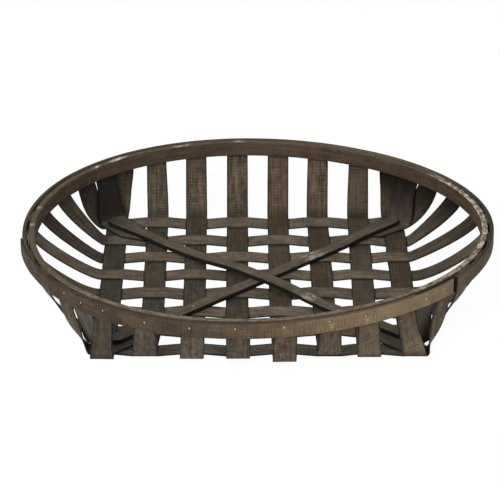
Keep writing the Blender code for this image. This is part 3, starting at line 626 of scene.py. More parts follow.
def weave_line(crossings, over, widths):
    """Places and heights along a splint's base, flat at each crossing and eased between them."""
    halves = [width / 2 + FLAT_MARGIN for width in widths]
    levels = [WEAVE_MIDDLE + (WEAVE_RISE if is_over else -WEAVE_RISE) for is_over in over]
    line = []
    for i, (place, level, half) in enumerate(zip(crossings, levels, halves)):
        steps = round(2 * half / BASE_STEP)
        line += [(place - half + 2 * half * k / steps, level) for k in range(steps + 1)]
        if i + 1 < len(crossings):
            start, end = place + half, crossings[i + 1] - halves[i + 1]
            steps = max(round((end - start) / BASE_STEP), 2)
            rise = levels[i + 1] - level
            for k in range(1, steps):
                line.append((start + (end - start) * k / steps, level + rise * ramp(k / steps)))
    return line


def rim_end(angle, sign, width, below_top):
    """Upright end of a splint between hoop and band, from its foot to its top."""
    across = rim_along(angle) * sign
    place = rim_line(angle)
    outward = rim_outward(angle)
    low, high = RIM_BOTTOM - SANDWICH_ENTRY, RIM_TOP - below_top
    heights = [low + (high - low) * k / END_STEPS for k in range(END_STEPS + 1)]
    return [(place + UP * height, across, outward, width) for height in heights]


def corner_width(share):
    """Width of a corner splint at a share of its wall, drawn in to fit between its neighbours."""
    drawn_in = smooth((share - CORNER_NARROWS) / (CORNER_NARROWED - CORNER_NARROWS))
    return CORNER_WALL_WIDTH + (CORNER_WIDTH - CORNER_WALL_WIDTH) * drawn_in


def wall(curve, direction, across, foot, twist_done=1.0):
    """Wall of a splint along a curve, turning from its base flat to face the rim."""
    _, rim_across, _, width = foot
    sections = []
    for k in range(1, WALL_STEPS):
        t = k / WALL_STEPS
        tangent = (bezier(curve, t + 0.01) - bezier(curve, t - 0.01)).normalized()
        side = across.lerp(rim_across, smooth(t / twist_done))
        side = (side - tangent * side.dot(tangent)).normalized()
        normal = side.cross(tangent)
        if normal.dot(direction - UP * 0.5) < 0:
            normal = -normal
        centre = bezier(curve, t)
        lowest = centre.z - abs(side.z) * width / 2 - abs(normal.z) * SPLINT_THICKNESS / 2
        centre.z -= min(lowest, 0.0)
        sections.append((centre, side, normal, width))
    return sections


def strip_stations(sections):
    return [(c, a, n, w / 2, SPLINT_THICKNESS / 2 - SPLINT_EASE, 0.0) for c, a, n, w in sections]


def woven_sections(base, low_end, high_end):
    """Sections of one woven splint from rim to rim.

    Each end is its angle, its width, how far it runs on before it rises, how it leans at the
    rim, whether it stands at a corner, and how far under the rim's top it was cut.
    """
    along = base[-1] - base[0]
    along.z = 0.0
    along.normalize()
    sides = []
    for point, direction, (angle, width, reach, lean, is_corner, below_top) in (
            (base[0], -along, low_end), (base[-1], along, high_end)):
        across = direction.cross(UP)
        upright = rim_end(angle, 1, width, below_top)
        if upright[0][1].dot(across) < 0:
            across = -across
        foot = upright[0][0]
        run = (foot - point) * lean
        curve = (point, point + direction * reach, foot - Vector((run.x, run.y, WALL_RISE)), foot)
        rise = wall(curve, direction, across, upright[0], CORNER_TWIST_DONE if is_corner else 1.0)
        sides.append([(point, across, -UP, width)] + rise + upright)
    low, high = sides
    sections = list(reversed(low)) + [(p, low[0][1], -UP, low[0][3]) for p in base[1:-1]]
    flip = -1 if low[0][1].dot(high[0][1]) < 0 else 1
    return sections + [(c, a * flip, n, w) for c, a, n, w in high]


def top_of(key):
    """How far under the rim's top a splint end was cut, differing a little from end to end."""
    return SPLINT_BELOW_TOP + CUT_VARIES * (0.5 + 0.5 * math.sin(sum(map(ord, str(key))) * 1.7))


def soil_up(foot_and_rim, height):
    """Darkening at a height, from how much there is at a wall's foot and at the rim."""
    at_foot, at_rim = foot_and_rim
    return at_foot + (at_rim - at_foot) * smooth(height / RIM_BOTTOM)


def wall_soil(stations, axis, low, high):
    """Darkening on a splint's two walls, low before its middle and high past it; in the back corners it is
    painted shade.
    """
    dark_shares = []
    for centre, *_ in stations:
        amount = soil_up(low if centre[axis] < 0 else high, centre.z)
        dark_shares.append(-amount * smooth((abs(centre[axis]) - DARKENING_START) / DARKENING_FADE))
    return dark_shares


def splint_values(seed, material):
    return {"Ring Points": STRIP_RING, "Corner Sharpness": 0.2, "Edge Wander": 0.3 * MM,
            "Edge Wander Length": 70 * MM, "Face Wander": SPLINT_EASE, "Face Wander Length": 12 * MM,
            "Seed": seed, "Material": material}


def lengthwise_splint(ends, column, material, look):
    rows = list(range(COUNT))[::-1]
    line = weave_line([CROSSWISE_Y[r] for r in rows], [lengthwise_is_over(column, r) for r in rows],
                      [CROSSWISE_WIDTHS[r] for r in rows])
    base = [Vector((lengthwise_x(column, y), y, z)) for y, z in line]
    base[0].y -= FRONT_RUN[column]
    is_corner = column in (0, COUNT - 1)
    reaches = {"front": FRONT_REACH[column], "back": BACK_REACH}
    front, back = ((*ends[end, column], reach, WALL_LEAN, is_corner, top_of((end, column)))
                   for end, reach in reaches.items())
    stations = strip_stations(woven_sections(base, front, back))
    bar(f"lengthwise_splint_{column + 1}", stations, splint_values(column + 1, material),
        look, wall_soil(stations, 1, FRONT_DARKENING[column], BACK_DARKENING[column]))


def crosswise_splint(ends, row, material, look):
    y = CROSSWISE_Y[row]
    line = weave_line([lengthwise_x(c, y) for c in range(COUNT)],
                      [not lengthwise_is_over(c, row) for c in range(COUNT)], [LENGTHWISE_WIDTH] * COUNT)
    base = [Vector((x, y, z)) for x, z in line]
    is_corner = row in (0, COUNT - 1)
    left = (*ends["left", row], LEFT_REACH[row], LEFT_LEAN[row], is_corner, top_of(("left", row)))
    right = (*ends["right", row], RIGHT_REACH[row], RIGHT_LEAN[row], is_corner, top_of(("right", row)))
    stations = strip_stations(woven_sections(base, left, right))
    bar(f"crosswise_splint_{row + 1}", stations, splint_values(row + 11, material),
        look, wall_soil(stations, 0, LEFT_DARKENING[row], RIGHT_DARKENING[row]))


def corner_splint(ends, corner, seed, material, look):
    """Splint from a point on the base, up inside the corner, to the rim."""
    y = CROSSWISE_Y[0 if "back" in corner else -1]
    x = lengthwise_x(0 if "left" in corner else COUNT - 1, y)
    outward = Vector((math.copysign(1, x), math.copysign(1, y), 0.0)).normalized()
    tip = Vector((x, y, 0.0)) - outward * CORNER_TIP_REACH + UP.cross(outward) * CORNER_TIP_SHIFT[corner]
    tip.z = WEAVE_TOP + GAP + SPLINT_THICKNESS / 2
    angle, width = ends[corner]
    upright = rim_end(angle, 1, width, top_of(corner))
    foot = upright[0][0]
    heading = Vector((foot.x - tip.x, foot.y - tip.y, 0.0)).normalized()
    across = heading.cross(UP)
    if across.dot(upright[0][1]) < 0:
        across = -across
    flat = CORNER_FLATS[corner]
    steps = round(flat / BASE_STEP)
    flats = []
    for k in range(steps + 1):
        d = flat * k / steps
        taper = min(d / CORNER_TIP_TAPER, 1.0)
        wide = CORNER_TIP_WIDTH + (CORNER_WALL_WIDTH - CORNER_TIP_WIDTH) * taper
        flats.append((tip + heading * d, across, -UP, wide))
    start = flats[-1][0]
    below = foot - heading * CORNER_FOLD_LEAN - UP * CORNER_FOLD_RISE
    curve = (start, start + heading * CORNER_FOLD_REACH, below, foot)
    rise = [(c, a, n, corner_width(k / WALL_STEPS))
            for k, (c, a, n, _) in enumerate(wall(curve, heading, across, upright[0]), 1)]
    stations = strip_stations(flats + rise + upright)
    heights = [centre.z for centre, *_ in stations]
    # Darker up the corner splint's wall, most in the back corners, where it is painted shade
    dark_shares = [-soil_up(CORNER_DARKENING[corner], z) * smooth((z - tip.z) / CORNER_DARKENING_FADE) for z in heights]
    bar(f"corner_splint_{corner}", stations, splint_values(seed, material), look, dark_shares)


# Hoop and bands

def value_at(keys, angle):
    """Offsets of a hoop's two faces at an angle, from its key sections."""
    for (a0, *v0), (a1, *v1) in zip(keys, keys[1:]):
        if a0 <= angle <= a1:
            f = (angle - a0) / (a1 - a0)
            return [p + (q - p) * f for p, q in zip(v0, v1)]
    raise ValueError("angle is outside the hoop")


def rear_band_keys():
    """Rear band: thinned under the front band at both its ends, proud past the right one."""
    lap_start, lap_end = RIGHT_LAP
    half = BAND_INNER + (BAND_THICKNESS - GAP) / 2
    shoulder = lap_end + degrees_for(lap_end, RIGHT_SLOT)
    full = shoulder + degrees_for(shoulder, LAP_STEP)
    thinning = LEFT_LAP[0] - degrees_for(LEFT_LAP[0], 2 * LEFT_LAP_TIP)
    return [(lap_start - 360, BAND_INNER, half), (shoulder - 360, BAND_INNER, half),
            (full - 360, BAND_INNER, BAND_OUTER + RIGHT_LAP_PROUD),
            (full + RIGHT_LAP_RUN_OUT - 360, BAND_INNER, BAND_OUTER), (thinning, BAND_INNER, BAND_OUTER),
            (LEFT_LAP[1], BAND_INNER, BAND_INNER + LEFT_LAP_TIP)]


def front_band_keys():
    """Front band: outermost at both laps, standing proud at the left one."""
    start, end = LEFT_LAP
    under_start = value_at(rear_band_keys(), start)[1] + GAP
    under_end = BAND_INNER + LEFT_LAP_TIP + GAP
    past = end + degrees_for(end, LAP_STEP)
    seated = past + degrees_for(past, 2 * under_end)
    half = BAND_INNER + (BAND_THICKNESS - GAP) / 2 + GAP
    right_start, right_tip = RIGHT_LAP
    leave = right_start - degrees_for(right_start, 2 * LAP_STEP)
    lifted = right_start - degrees_for(right_start, LAP_STEP)
    return [(start, under_start, BAND_OUTER + LEFT_LAP_PROUD), (end, under_end, BAND_OUTER + GAP),
            (past, under_end, BAND_OUTER), (seated, BAND_INNER, BAND_OUTER),
            (leave, BAND_INNER, BAND_OUTER), (lifted, half, BAND_OUTER), (right_tip, half, BAND_OUTER)]


def inner_hoop_keys():
    """Inner hoop: one bar whose two half-thickness ends lap at the back right."""
    start, end = HOOP_LAP
    middle = (HOOP_OUTER + HOOP_INNER) / 2
    step = degrees_for(end, LAP_STEP)
    last = start + 360 - step
    return [(start, HOOP_INNER, middle - GAP / 2), (end, HOOP_INNER, middle - GAP / 2),
            (end + step, HOOP_INNER, HOOP_OUTER), (last - step, HOOP_INNER, HOOP_OUTER),
            (last, middle + GAP / 2, HOOP_OUTER), (last + end - start, middle + GAP / 2, HOOP_OUTER)]


def hoop_or_band(name, keys, height, torn_at, values, look, wear_dirt_and_shade_at):
    """Hoop or band through its key sections, torn, scuffed and darkened by the angle round the rim."""
    first, last = keys[0][0], keys[-1][0]
    steps = round((last - first) / HOOP_STEP)
    angles = {first + (last - first) * k / steps for k in range(steps + 1)}
    angles = sorted(angles | {key[0] for key in keys})
    middle = RIM_TOP - height / 2
    half = height / 2 - HEIGHT_EASE
    stations = []
    for angle in angles:
        inner, outer = value_at(keys, angle)
        outward = rim_outward(angle)
        centre = rim_line(angle) + outward * ((inner + outer) / 2) + UP * middle
        stations.append((centre, UP.copy(), outward, half, (outer - inner) / 2, torn_at(angle)))
    bar(name, stations, values, look, [wear_dirt_and_shade_at(angle) for angle in angles])


def bar_values(seed, material, torn_depth):
    return {"Ring Points": BAR_RING, "Corner Sharpness": 0.26, "Edge Wander": 0.25 * MM,
            "Edge Wander Length": 50 * MM, "Face Wander": 0.2 * MM, "Face Wander Length": 30 * MM,
            "Torn Depth": torn_depth, "Seed": seed, "Material": material}


def stretch(angle, middle, half, fade):
    """1 over a stretch of the rim, fading to 0 beyond its ends."""
    away = abs((angle - middle + 180) % 360 - 180)
    return 1 - smooth((away - half) / fade)


def hoop_torn(angle):
    most, least, middle, fade = HOOP_TORN
    return least + (most - least) * stretch(angle, middle, 0, fade)


def band_torn(_):
    return BAND_TORN


def hoop_scuffed(angle):
    """How scuffed the hoop's top is: knocks at the back left, rough at the right, rubbed in front."""
    return max(share * stretch(angle, middle, half, fade) for middle, half, fade, share in HOOP_SCUFFS)


def rear_soiled(angle):
    """Darkening of the rear band: black painted shade on the thin end that shows in the slot past the front
    band's tip, then dirt, fading.
    """
    slot_end = RIGHT_LAP[1] - 360 + degrees_for(RIGHT_LAP[1], RIGHT_SLOT + 2 * LAP_STEP)
    if angle < slot_end:
        # Painted shade: black in the slot
        return -1.0
    near, far, reach, fade_start, fade = REAR_SOIL
    dirt = near + (far - near) * smooth((angle - slot_end) / reach)
    return -dirt * (1 - smooth((angle - fade_start) / fade))


def front_soiled(angle):
    """Dirt on the front band: more on its left half."""
    most, fade_start, fade = FRONT_BAND_SOIL
    return -most * (1 - smooth((angle - fade_start) / fade))


# Slats

def plan_crossing(first, second):
    """Point in plan where the centre lines of the two slats cross."""
    p, q = (Vector(v) for v in first)
    r, s = (Vector(v) for v in second)
    a, b = q - p, s - r
    t = ((r - p).x * b.y - (r - p).y * b.x) / (a.x * b.y - a.y * b.x)
    return p + a * t


def slat_floor(place, length, crossing, is_upper):
    """Height of a slat's underside at a distance from its first tip."""
    low = WEAVE_TOP + GAP
    on_corner = low + SPLINT_THICKNESS + GAP
    from_tip = min(place, length - place)
    level = low + (on_corner - low) * (1 - smooth((from_tip - SLAT_END_FLAT) / SLAT_END_RAMP))
    if is_upper:
        past_flat = abs(place - crossing) - SLAT_CROSSING_FLAT
        level += (SLAT_THICKNESS + GAP) * (1 - smooth(past_flat / SLAT_CROSSING_RAMP))
    return level


def slat_line(tips, other):
    """Centre line of a slat in plan: first tip, direction, length, and distance to the other slat."""
    start, end = (Vector(t) for t in tips)
    line = end - start
    return start, line.normalized(), line.length, (plan_crossing(tips, other) - start).length


def brace_slat(name, tips, other, is_upper, seed, material, look, scuffs):
    """Slat whose two ends are snipped to a narrow tip.

    scuffs are places along it, each with its reach and its share; a share below 0 darkens it.
    """
    start, along, length, crossing = slat_line(tips, other)
    across = Vector((-along.y, along.x, 0.0))
    steps = round(length / BASE_STEP)
    places = {length * k / steps for k in range(steps + 1)}
    places = sorted(places | {SLAT_TIP_TAPER, length - SLAT_TIP_TAPER})
    stations = []
    wear_dirt_and_shade = []
    for place in places:
        taper = min(place / SLAT_TIP_TAPER, (length - place) / SLAT_TIP_TAPER, 1.0)
        half = (SLAT_TIP_WIDTH + (SLAT_WIDTH - SLAT_TIP_WIDTH) * taper) / 2
        floor = slat_floor(place, length, crossing, is_upper)
        centre = (start + along * place).to_3d() + UP * (floor + SLAT_THICKNESS / 2)
        stations.append((centre, across, UP.copy(), half, SLAT_THICKNESS / 2, 0.0))
        wear_dirt_and_shade.append(sum(share * (1 - smooth(abs(place - spot) / reach)) for spot, reach, share in scuffs))
    values = bar_values(seed, material, 0.0)
    values["Corner Sharpness"] = 0.2
    bar(name, stations, values, look, wear_dirt_and_shade)


# Nails

def nails(name, seats, seed, material, replaced=()):
    """Nails at seats of (place, axis, how bright the head is)."""
    places, axes, brights = zip(*seats)
    mesh = point_mesh(places, {"axis": axes}, {"bright": brights}, False)
    made_by(DRIVEN_NAILS, name, mesh, {"Seed": seed, "Material": material}, replaced)


def band_face(angle):
    """Offset of the outermost band face at an angle, where a nail head sits."""
    faces = []
    for keys in (rear_band_keys(), front_band_keys()):
        for turned in (angle, angle - 360):
            if keys[0][0] <= turned <= keys[-1][0]:
                faces.append(value_at(keys, turned)[1])
    return max(faces)


def rim_nail_seats(ends):
    """Seats of the rim's nails, bright in front and dull elsewhere."""
    seats = []
    for key, (angle, _) in ends.items():
        if key != LOST_NAIL:
            run, rise = NAIL_OFFSETS.get(key, (0.0, 0.0))
            bright = BRIGHT if BRIGHT_NAILS[0] < angle < BRIGHT_NAILS[1] else DULL
            angle += degrees_for(angle, run)
            outward = rim_outward(angle)
            place = rim_line(angle) + outward * band_face(angle) + UP * (NAIL_LEVEL + rise)
            seats.append((place, outward, bright))
    return seats


def slat_nail_seats(tips, other, is_upper):
    """Seats of the nails down through one slat: on the base crossings, near the tips, at the middle."""
    start, along, length, crossing = slat_line(tips, other)
    spots = []
    for column in BRACED_SPLINTS:
        for row in BRACED_SPLINTS:
            knot = Vector((lengthwise_x(column, CROSSWISE_Y[row]), CROSSWISE_Y[row]))
            foot = start + along * (knot - start).dot(along)
            if (foot - knot).length < SLAT_WIDTH:
                at_front_left = foot.x < 0 and foot.y < 0
                spots.append((foot, FRONT_LEFT_KNOT_BRIGHT if at_front_left else KNOT_BRIGHT))
    for tip, inward in ((start, along), (start + along * length, -along)):
        y = CROSSWISE_Y[0 if tip.y > 0 else -1]
        corner = Vector((lengthwise_x(0 if tip.x < 0 else COUNT - 1, y), y))
        diagonal = Vector((-math.copysign(1, tip.x), -math.copysign(1, tip.y))).normalized()
        spot = tip + inward * BRACE_NAIL_INSET
        nearest = corner + diagonal * (spot - corner).dot(diagonal)
        spots.append((spot + (nearest - spot).normalized() * BRACE_NAIL_SHIFT, DULL))
    if is_upper:
        spots.append((start + along * crossing, DULL))
    seats = []
    for spot, bright in spots:
        floor = slat_floor((spot - start).dot(along), length, crossing, is_upper)
        seats.append((spot.to_3d() + UP * (floor + SLAT_THICKNESS), UP.copy(), bright))
    return seats


# Materials

def colour(hex_code):
    """Linear colour, with alpha, from a six-figure sRGB code."""
    parts = [int(hex_code[i:i + 2], 16) / 255 for i in (0, 2, 4)]
    return (*((p / 12.92 if p <= 0.04045 else ((p + 0.055) / 1.055) ** 2.4) for p in parts), 1.0)


def new_material(name):
    """Material, and the Tree that adds to its nodes."""
    material = bpy.data.materials.new(name)
    material.use_nodes = True
    return material, Tree(material.node_tree)


def set_surface(tree, inputs):
    shader = tree.tree.nodes["Principled BSDF"]
    for name, value in inputs.items():
        tree.feed(shader.inputs[name], value)


def wood_figure_group():
    """Grain of sawn oak: long streaks, fine fibres and the saw's marks across them."""
    tree = new_tree("sawn_wood_figure", "ShaderNodeTree", {
        "Grain": ("Vector", None), "Streak Width": ("Float", 2.4 * MM), "Streak Length": ("Float", 60 * MM),
        "Saw Pitch": ("Float", 4.2 * MM), "Saw Amount": ("Float", 0.5),
    }, {name: ("Float", None) for name in ("Tone", "Saw", "Height")})
    grain = tree.given("Grain")
    along, across, depth = tree.split(grain)
    per_width = tree.divide(1.0, tree.given("Streak Width"))
    per_length = tree.divide(1.0, tree.given("Streak Length"))
    streak_place = tree.join(tree.multiply(along, per_length), tree.multiply(across, per_width),
                             tree.multiply(depth, per_width))
    streak = tree.noise(streak_place, 4.0, 0.6, 0.4)
    fibre = tree.noise(streak_place, 3.0, 0.65, 0.0, (6.0, 4.0, 4.0))
    blotch = tree.noise(grain, 4.0, 0.65, 0.5, (60.0, 110.0, 110.0))
    uneven = tree.noise(grain, scales=(160.0, 25.0, 25.0))
    turns = tree.add(tree.divide(along, tree.given("Saw Pitch")), tree.multiply(uneven, 2.2))
    wave = tree.math("SINE", tree.multiply(turns, math.tau))
    patch = tree.noise(grain, scales=(28.0, 50.0, 50.0))
    saw = tree.multiply(tree.ease(wave, -0.2, 1.0), tree.ease(patch, 0.38, 0.62, 0.15, 1.0))
    saw = tree.multiply(saw, tree.given("Saw Amount"))
    tone = tree.add(tree.multiply(streak, 0.4), tree.multiply(fibre, 0.25))
    tone = tree.add(tone, tree.multiply(blotch, 0.35))
    height = tree.subtract(tree.add(fibre, streak), saw)
    tree.finish(Tone=tone, Saw=saw, Height=tree.multiply(height, GRAIN_RELIEF))
    return tree.tree


def weathering_group():
    """Stains in broad patches, dirt on the base, painted shade in the back corners, and scuffed upper
    faces.
    """
    outputs = ("Stain", "Hue", "Scuff", "Fleck", "Top", "Base", "Corner", "Right")
    tree = new_tree("weathering", "ShaderNodeTree", {
        "Place": ("Vector", None), "Grain": ("Vector", None), "Patch Size": ("Float", 45 * MM),
    }, {name: ("Float", None) for name in outputs})
    place, grain = tree.given("Place"), tree.given("Grain")
    x, y, z = tree.split(place)
    patches = tree.times(place, tree.divide(1.0, tree.given("Patch Size")))
    stain = tree.noise(patches, 3.0, 0.55, 0.6)
    hue = tree.noise(tree.vector("ADD", tree.times(patches, 0.6), (7.3, 1.9, 4.1)))
    scuff = tree.noise(grain, 4.0, 0.7, 1.0, (45.0, 260.0, 260.0))
    fleck = tree.noise(grain, 3.0, 0.65, 0.0, (150.0, 260.0, 260.0))
    facing = tree.split(tree.node("ShaderNodeNewGeometry").outputs["Normal"])[2]
    # Painted shade: darkest in the back corners, fading out unevenly
    into_corner = tree.math("MINIMUM", tree.math("ABSOLUTE", x), y)
    corner = tree.add(into_corner, tree.multiply(tree.subtract(stain, 0.5), 50 * MM))
    tree.finish(Stain=tree.ease(stain, 0.35, 0.7), Hue=hue, Scuff=tree.ease(scuff, 0.52, 0.7),
                Fleck=tree.ease(fleck, 0.4, 0.6), Top=tree.ease(facing, 0.55, 0.95),
                Base=tree.ease(z, 4 * MM, 14 * MM, 1.0, 0.0), Corner=tree.ease(corner, 135 * MM, 200 * MM),
                Right=tree.ease(x, -50 * MM, 170 * MM))
    return tree.tree


def edge_group():
    """Dark line along a bar's long edges, the wood's own dark edge with painted shade on it, with a soft
    grey border beside it, both of uneven width.
    """
    tree = new_tree("edge_line", "ShaderNodeTree", {
        "From Edge": ("Float", 10 * MM), "Grain": ("Vector", None), "Width": ("Float", 1.2 * MM),
    }, {"Edge": ("Float", None), "Border": ("Float", None)})
    uneven = tree.noise(tree.given("Grain"), 3.0, 0.6, 0.0, (120.0, 30.0, 30.0))
    reach = tree.multiply(tree.given("Width"), tree.ease(uneven, 0.3, 0.75, 0.5, 1.7))
    share = tree.divide(tree.given("From Edge"), reach)
    tree.finish(Edge=tree.ease(share, 0.35, 1.0, 1.0, 0.0), Border=tree.ease(share, 1.2, 3.6, 1.0, 0.0))
    return tree.tree


def attribute(tree, name, output="Fac"):
    return tree.node("ShaderNodeAttribute", attribute_name=name, attribute_type="GEOMETRY").outputs[output]


def nearest_of(tree, spots, uneven):
    """Distance from the nearest of the spots, stretched unevenly."""
    place = tree.node("ShaderNodeTexCoord").outputs["Object"]
    nearest = None
    for spot in spots:
        away = tree.node("ShaderNodeVectorMath", {0: place, 1: spot}, operation="DISTANCE").outputs["Value"]
        nearest = away if nearest is None else tree.math("MINIMUM", nearest, away)
    return tree.divide(nearest, tree.ease(uneven, 0.0, 1.0, 0.6, 1.3))


def nail_stains(tree, base, places, weather):
    """Dark rust close round each nail and, on the right half, an ochre patch where it has run down."""
    run_down = nearest_of(tree, [place + OCHRE_RUN for place in places], weather["Fleck"])
    ochre = tree.multiply(tree.ease(run_down, 2 * MM, 5.5 * MM, 0.55, 0.0), weather["Right"])
    base = tree.blend(ochre, base, colour(OCHRE))
    rust = nearest_of(tree, places, weather["Stain"])
    return tree.blend(tree.ease(rust, 1.8 * MM, 3.4 * MM, 0.5, 0.0), base, colour(RUST))


def tinted(tree, base, tints):
    """Colour mixed in turn towards each tint, by its amount times its share."""
    for amount, share, tint in tints:
        if share:
            base = tree.blend(tree.multiply(amount, share), base, tint)
    return base


def wood(name, dark, light, edge="14120F", top="8A7E6C", red="5A4436", scuff="B4AA98", saw=0.6,
         saw_pitch=4.2 * MM, edge_width=1.5 * MM, edge_share=0.9, border=0.35, top_share=0.0,
         stain_share=0.4, hue_share=0.3, base_dirt=0.0, side_shade=0.0, corner_shade=0.0, golden=0.0,
         patch_size=45 * MM, nailed_at=()):
    """Weathered oak between a dark and a light colour, with its own edges, dirt, scuffs and stains, and
    painted shade in the back corners, on steep sides and in the saw marks.
    """
    material, tree = new_material(name)
    grain = attribute(tree, "grain", "Vector")
    place = tree.node("ShaderNodeTexCoord").outputs["Object"]
    figure = tree.group(WOOD_FIGURE, {"Grain": grain, "Saw Amount": saw, "Saw Pitch": saw_pitch})
    weather = tree.group(WEATHERING, {"Grain": grain, "Place": place, "Patch Size": patch_size})
    from_edge = attribute(tree, "from_edge")
    line = tree.group(EDGE_LINE, {"Grain": grain, "From Edge": from_edge, "Width": edge_width})
    lighter = tree.multiply(tree.subtract(attribute(tree, "shade"), 0.5), SHADE_REACH)
    tone = tree.add(tree.ease(figure["Tone"], 0.4, 0.6), lighter, clamp=True)
    base = tree.blend(tone, colour(dark), colour(light))
    redness = tree.add(attribute(tree, "warmth"), tree.subtract(weather["Hue"], 0.5))
    redness = tree.ease(redness, 0.15, 0.85)
    base = tree.blend(hue_share, base, tree.blend(redness, colour(GREY), colour(red)))
    dirt = tree.blend(redness, colour(COOL_DIRT), colour(WARM_DIRT))
    # Stains, the golden right side and dirt on the base; painted shade in the back corners and in the saw
    # marks
    base = tinted(tree, base, (
        (weather["Stain"], stain_share, colour(STAIN)), (weather["Right"], golden, colour(GOLDEN)),
        (weather["Base"], base_dirt, dirt), (weather["Corner"], corner_shade, colour(PAINTED_SHADE)),
        (figure["Saw"], SAW_SHADE_SHARE, colour(SAW_SHADE)),
    ))
    if nailed_at:
        base = nail_stains(tree, base, nailed_at, weather)
    scuffed = tree.multiply(weather["Top"], weather["Scuff"])
    pale = tree.add(tree.multiply(weather["Top"], 0.45), tree.multiply(scuffed, 0.55))
    # Painted shade on steep faces, such as the slats' sides
    steep = tree.subtract(1.0, weather["Top"])
    # Dark edges: the wood's own dark edges with painted shade on them
    base = tinted(tree, base, (
        (pale, top_share, colour(top)), (steep, side_shade, colour(PAINTED_SHADE)),
        (line["Border"], border, colour(GREY)), (line["Edge"], edge_share, colour(edge)),
    ))
    wear_dirt_and_shade = attribute(tree, "wear_dirt_and_shade")
    rubbed = tree.multiply(tree.math("MAXIMUM", wear_dirt_and_shade, 0.0), weather["Top"])
    rubbed = tree.multiply(rubbed, tree.ease(weather["Fleck"], 0.0, 1.0, 0.1, 1.0))
    base = tree.blend(rubbed, base, colour(scuff))
    # Below 0, darkened towards near-black: dirt on the bands, painted shade in the back corners and in the
    # rear band's slot
    base = tree.blend(tree.multiply(tree.math("MINIMUM", wear_dirt_and_shade, 0.0), -1.0), base, colour(GRIME_AND_SHADE))
    bump = tree.node("ShaderNodeBump", {"Height": figure["Height"], "Strength": 0.8, "Distance": 1.0})
    set_surface(tree, {"Base Color": base, "Roughness": tree.ease(tone, 0.0, 1.0, 0.85, 0.62),
                       "Normal": bump.outputs[0], "Specular IOR Level": WOOD_SHEEN})
    return material


def nail_material():
    """Steel heads, from rubbed bright to rusted dull as each head's own brightness says."""
    material, tree = new_material("nail_steel")
    place = tree.node("ShaderNodeTexCoord").outputs["Object"]
    spots = tree.ease(tree.noise(tree.times(place, RUST_SPOTS), 3.0, 0.6), 0.4, 0.7)
    rust = tree.subtract(tree.add(spots, 0.9), attribute(tree, "bright"), clamp=True)
    bump = tree.node("ShaderNodeBump", {"Height": tree.multiply(spots, RUST_RELIEF), "Distance": 1.0})
    set_surface(tree, {"Base Color": tree.blend(rust, colour("A8A092"), colour("3E3229")),
                       "Roughness": tree.ease(rust, 0.0, 1.0, 0.35, 0.75),
                       "Metallic": tree.ease(rust, 0.0, 1.0, 0.8, 0.1), "Normal": bump.outputs[0]})
    return material


BENT_BAR = bent_bar_tree()
DRIVEN_NAILS = nail_tree()
WOOD_FIGURE = wood_figure_group()
WEATHERING = weathering_group()
EDGE_LINE = edge_group()


def build_basket():
    ends = splint_ends()
    # The lengthwise and crosswise woods carry painted shade in the back corners
    lengthwise_wood = wood("lengthwise_splint_wood", "40372D", "7C6C58", saw=0.85, base_dirt=0.7, corner_shade=0.15,
                           edge_width=1.8 * MM)
    crosswise_wood = wood("crosswise_splint_wood", "534A3F", "8C7F6C", saw=0.4, saw_pitch=4 * MM, corner_shade=0.1,
                          edge_share=0.75)
    corner_wood = wood("corner_splint_wood", "4A4641", "6B6761", saw=0.3)
    hoop_wood = wood("hoop_wood", "3A3026", "5A4C3F", edge="2A221B", top="9A8D76", red="5E4030",
                     scuff="D6CBB6", top_share=0.8, edge_share=0.5, border=0.0, saw=0.3,
                     edge_width=0.9 * MM)
    band = {"dark": "4E4336", "light": "75644F", "edge": "2E261E", "top": "85786A", "red": "6A4E3C",
            "saw": 0.55, "saw_pitch": 3.7 * MM, "top_share": 0.6, "stain_share": 0.65, "hue_share": 0.4,
            "edge_share": 0.6, "border": 0.0, "golden": 0.4, "edge_width": 0.9 * MM, "patch_size": 20 * MM}
    rear_wood = wood("rear_band_wood", **band)
    bright_nails = [place for place, _, bright in rim_nail_seats(ends) if bright > DULL]
    front_wood = wood("front_band_wood", nailed_at=bright_nails, **band)
    # The slat's sides carry painted shade
    slat_wood = wood("slat_wood", "4A4337", "73675A", top="7E7362", red="5C4A3C", saw=0.2, top_share=0.2,
                     edge_width=0.9 * MM, border=0.0, side_shade=0.6)
    steel = nail_material()

    for i in range(COUNT):
        lengthwise_splint(ends, i, lengthwise_wood, LENGTHWISE_LOOKS[i])
        crosswise_splint(ends, i, crosswise_wood, CROSSWISE_LOOKS[i])
    for seed, corner in enumerate(CORNER_ANGLES, 21):
        corner_splint(ends, corner, seed, corner_wood, CORNER_LOOKS[corner])
    upper, lower = UPPER_SLAT_TIPS, LOWER_SLAT_TIPS
    brace_slat("upper_brace_slat", upper, lower, True, 31, slat_wood, (0.5, 0.4), UPPER_SCUFFS)
    brace_slat("lower_brace_slat", lower, upper, False, 32, slat_wood, (0.4, 0.45), LOWER_SCUFFS)
    hoop_or_band("inner_hoop", inner_hoop_keys(), HOOP_HEIGHT, hoop_torn,
                 bar_values(41, hoop_wood, 0.9 * MM), (0.5, 0.55), hoop_scuffed)
    hoop_or_band("rear_band", rear_band_keys(), BAND_HEIGHT, band_torn,
                 bar_values(42, rear_wood, 0.6 * MM), (0.45, 0.45), rear_soiled)
    hoop_or_band("front_band", front_band_keys(), BAND_HEIGHT, band_torn,
                 bar_values(43, front_wood, 0.6 * MM), (0.5, 0.5), front_soiled)
    rim_nails = [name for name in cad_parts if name.startswith("rim_nail")]
    nails("rim_nails", rim_nail_seats(ends), 3, steel, rim_nails)
    brace_seats = slat_nail_seats(upper, lower, True) + slat_nail_seats(lower, upper, False)
    nails("brace_nails", brace_seats, 5, steel)


# Studio

def seen_directly(tree):
    """1 for a ray from the camera, or one that reached here by a mirror or through glass."""
    path = tree.node("ShaderNodeLightPath").outputs
    seen = tree.math("MAXIMUM", path["Is Camera Ray"], path["Is Glossy Ray"])
    return tree.math("MAXIMUM", seen, path["Is Transmission Ray"])


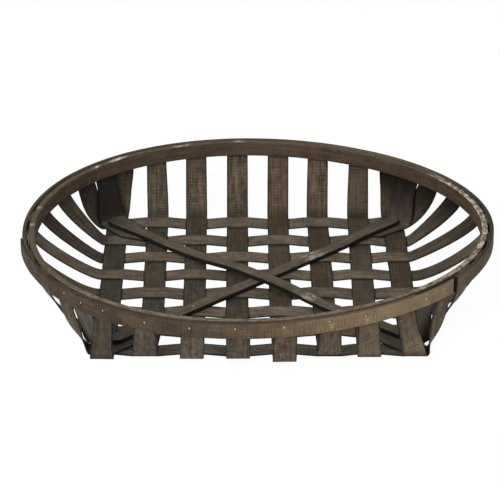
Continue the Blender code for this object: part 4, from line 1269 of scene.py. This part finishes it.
def build_studio():
    scene = bpy.context.scene
    scene.view_settings.view_transform = "Standard"
    world = bpy.data.worlds.new("studio")
    scene.world = world
    world.use_nodes = True
    nodes = world.node_tree.nodes
    tree = Tree(world.node_tree)
    lit = nodes["Background"]
    lit.inputs["Color"].default_value = WHITE
    lit.inputs["Strength"].default_value = SKY_LIGHT
    white = tree.node("ShaderNodeBackground", {"Color": WHITE, "Strength": 1.0})
    mix = tree.node("ShaderNodeMixShader", {0: seen_directly(tree), 1: lit.outputs[0], 2: white.outputs[0]})
    tree.feed(nodes["World Output"].inputs[0], mix.outputs[0])

    mesh = bpy.data.meshes.new("floor")
    half = FLOOR_SIDE / 2
    corners = [(-half, -half), (half, -half), (half, half), (-half, half)]
    mesh.from_pydata([(x, y, FLOOR_LEVEL) for x, y in corners], [], [(0, 1, 2, 3)])
    material, tree = new_material("pale_floor")
    tree.tree.nodes.remove(tree.tree.nodes["Principled BSDF"])
    paper = tree.node("ShaderNodeBsdfDiffuse", {"Color": FLOOR_COLOUR})
    glow = tree.node("ShaderNodeEmission", {"Color": WHITE, "Strength": FLOOR_GLOW})
    share = tree.multiply(seen_directly(tree), 1.0 - LIT_SHARE)
    mix = tree.node("ShaderNodeMixShader", {0: share, 1: paper.outputs[0], 2: glow.outputs[0]})
    tree.feed(tree.tree.nodes["Material Output"].inputs[0], mix.outputs[0])
    mesh.materials.append(material)
    added("floor", mesh)

    for name, (place, size, energy) in LAMPS.items():
        lamp = bpy.data.lights.new(name, "AREA")
        lamp.shape = "SQUARE"
        lamp.size = size
        lamp.energy = energy
        lamp.color = LAMP_COLOUR
        obj = added(name, lamp)
        obj.location = place
        obj.rotation_euler = (-Vector(place)).to_track_quat("-Z", "Y").to_euler()

    camera = bpy.data.cameras.new("camera")
    camera.sensor_width = SENSOR
    camera.lens = CAMERA_LENS
    camera.clip_end = VIEW_END
    obj = added("camera", camera)
    obj.location = CAMERA_PLACE
    obj.rotation_euler = (math.radians(CAMERA_TILT), 0.0, 0.0)
    scene.camera = obj


build_basket()
build_studio()
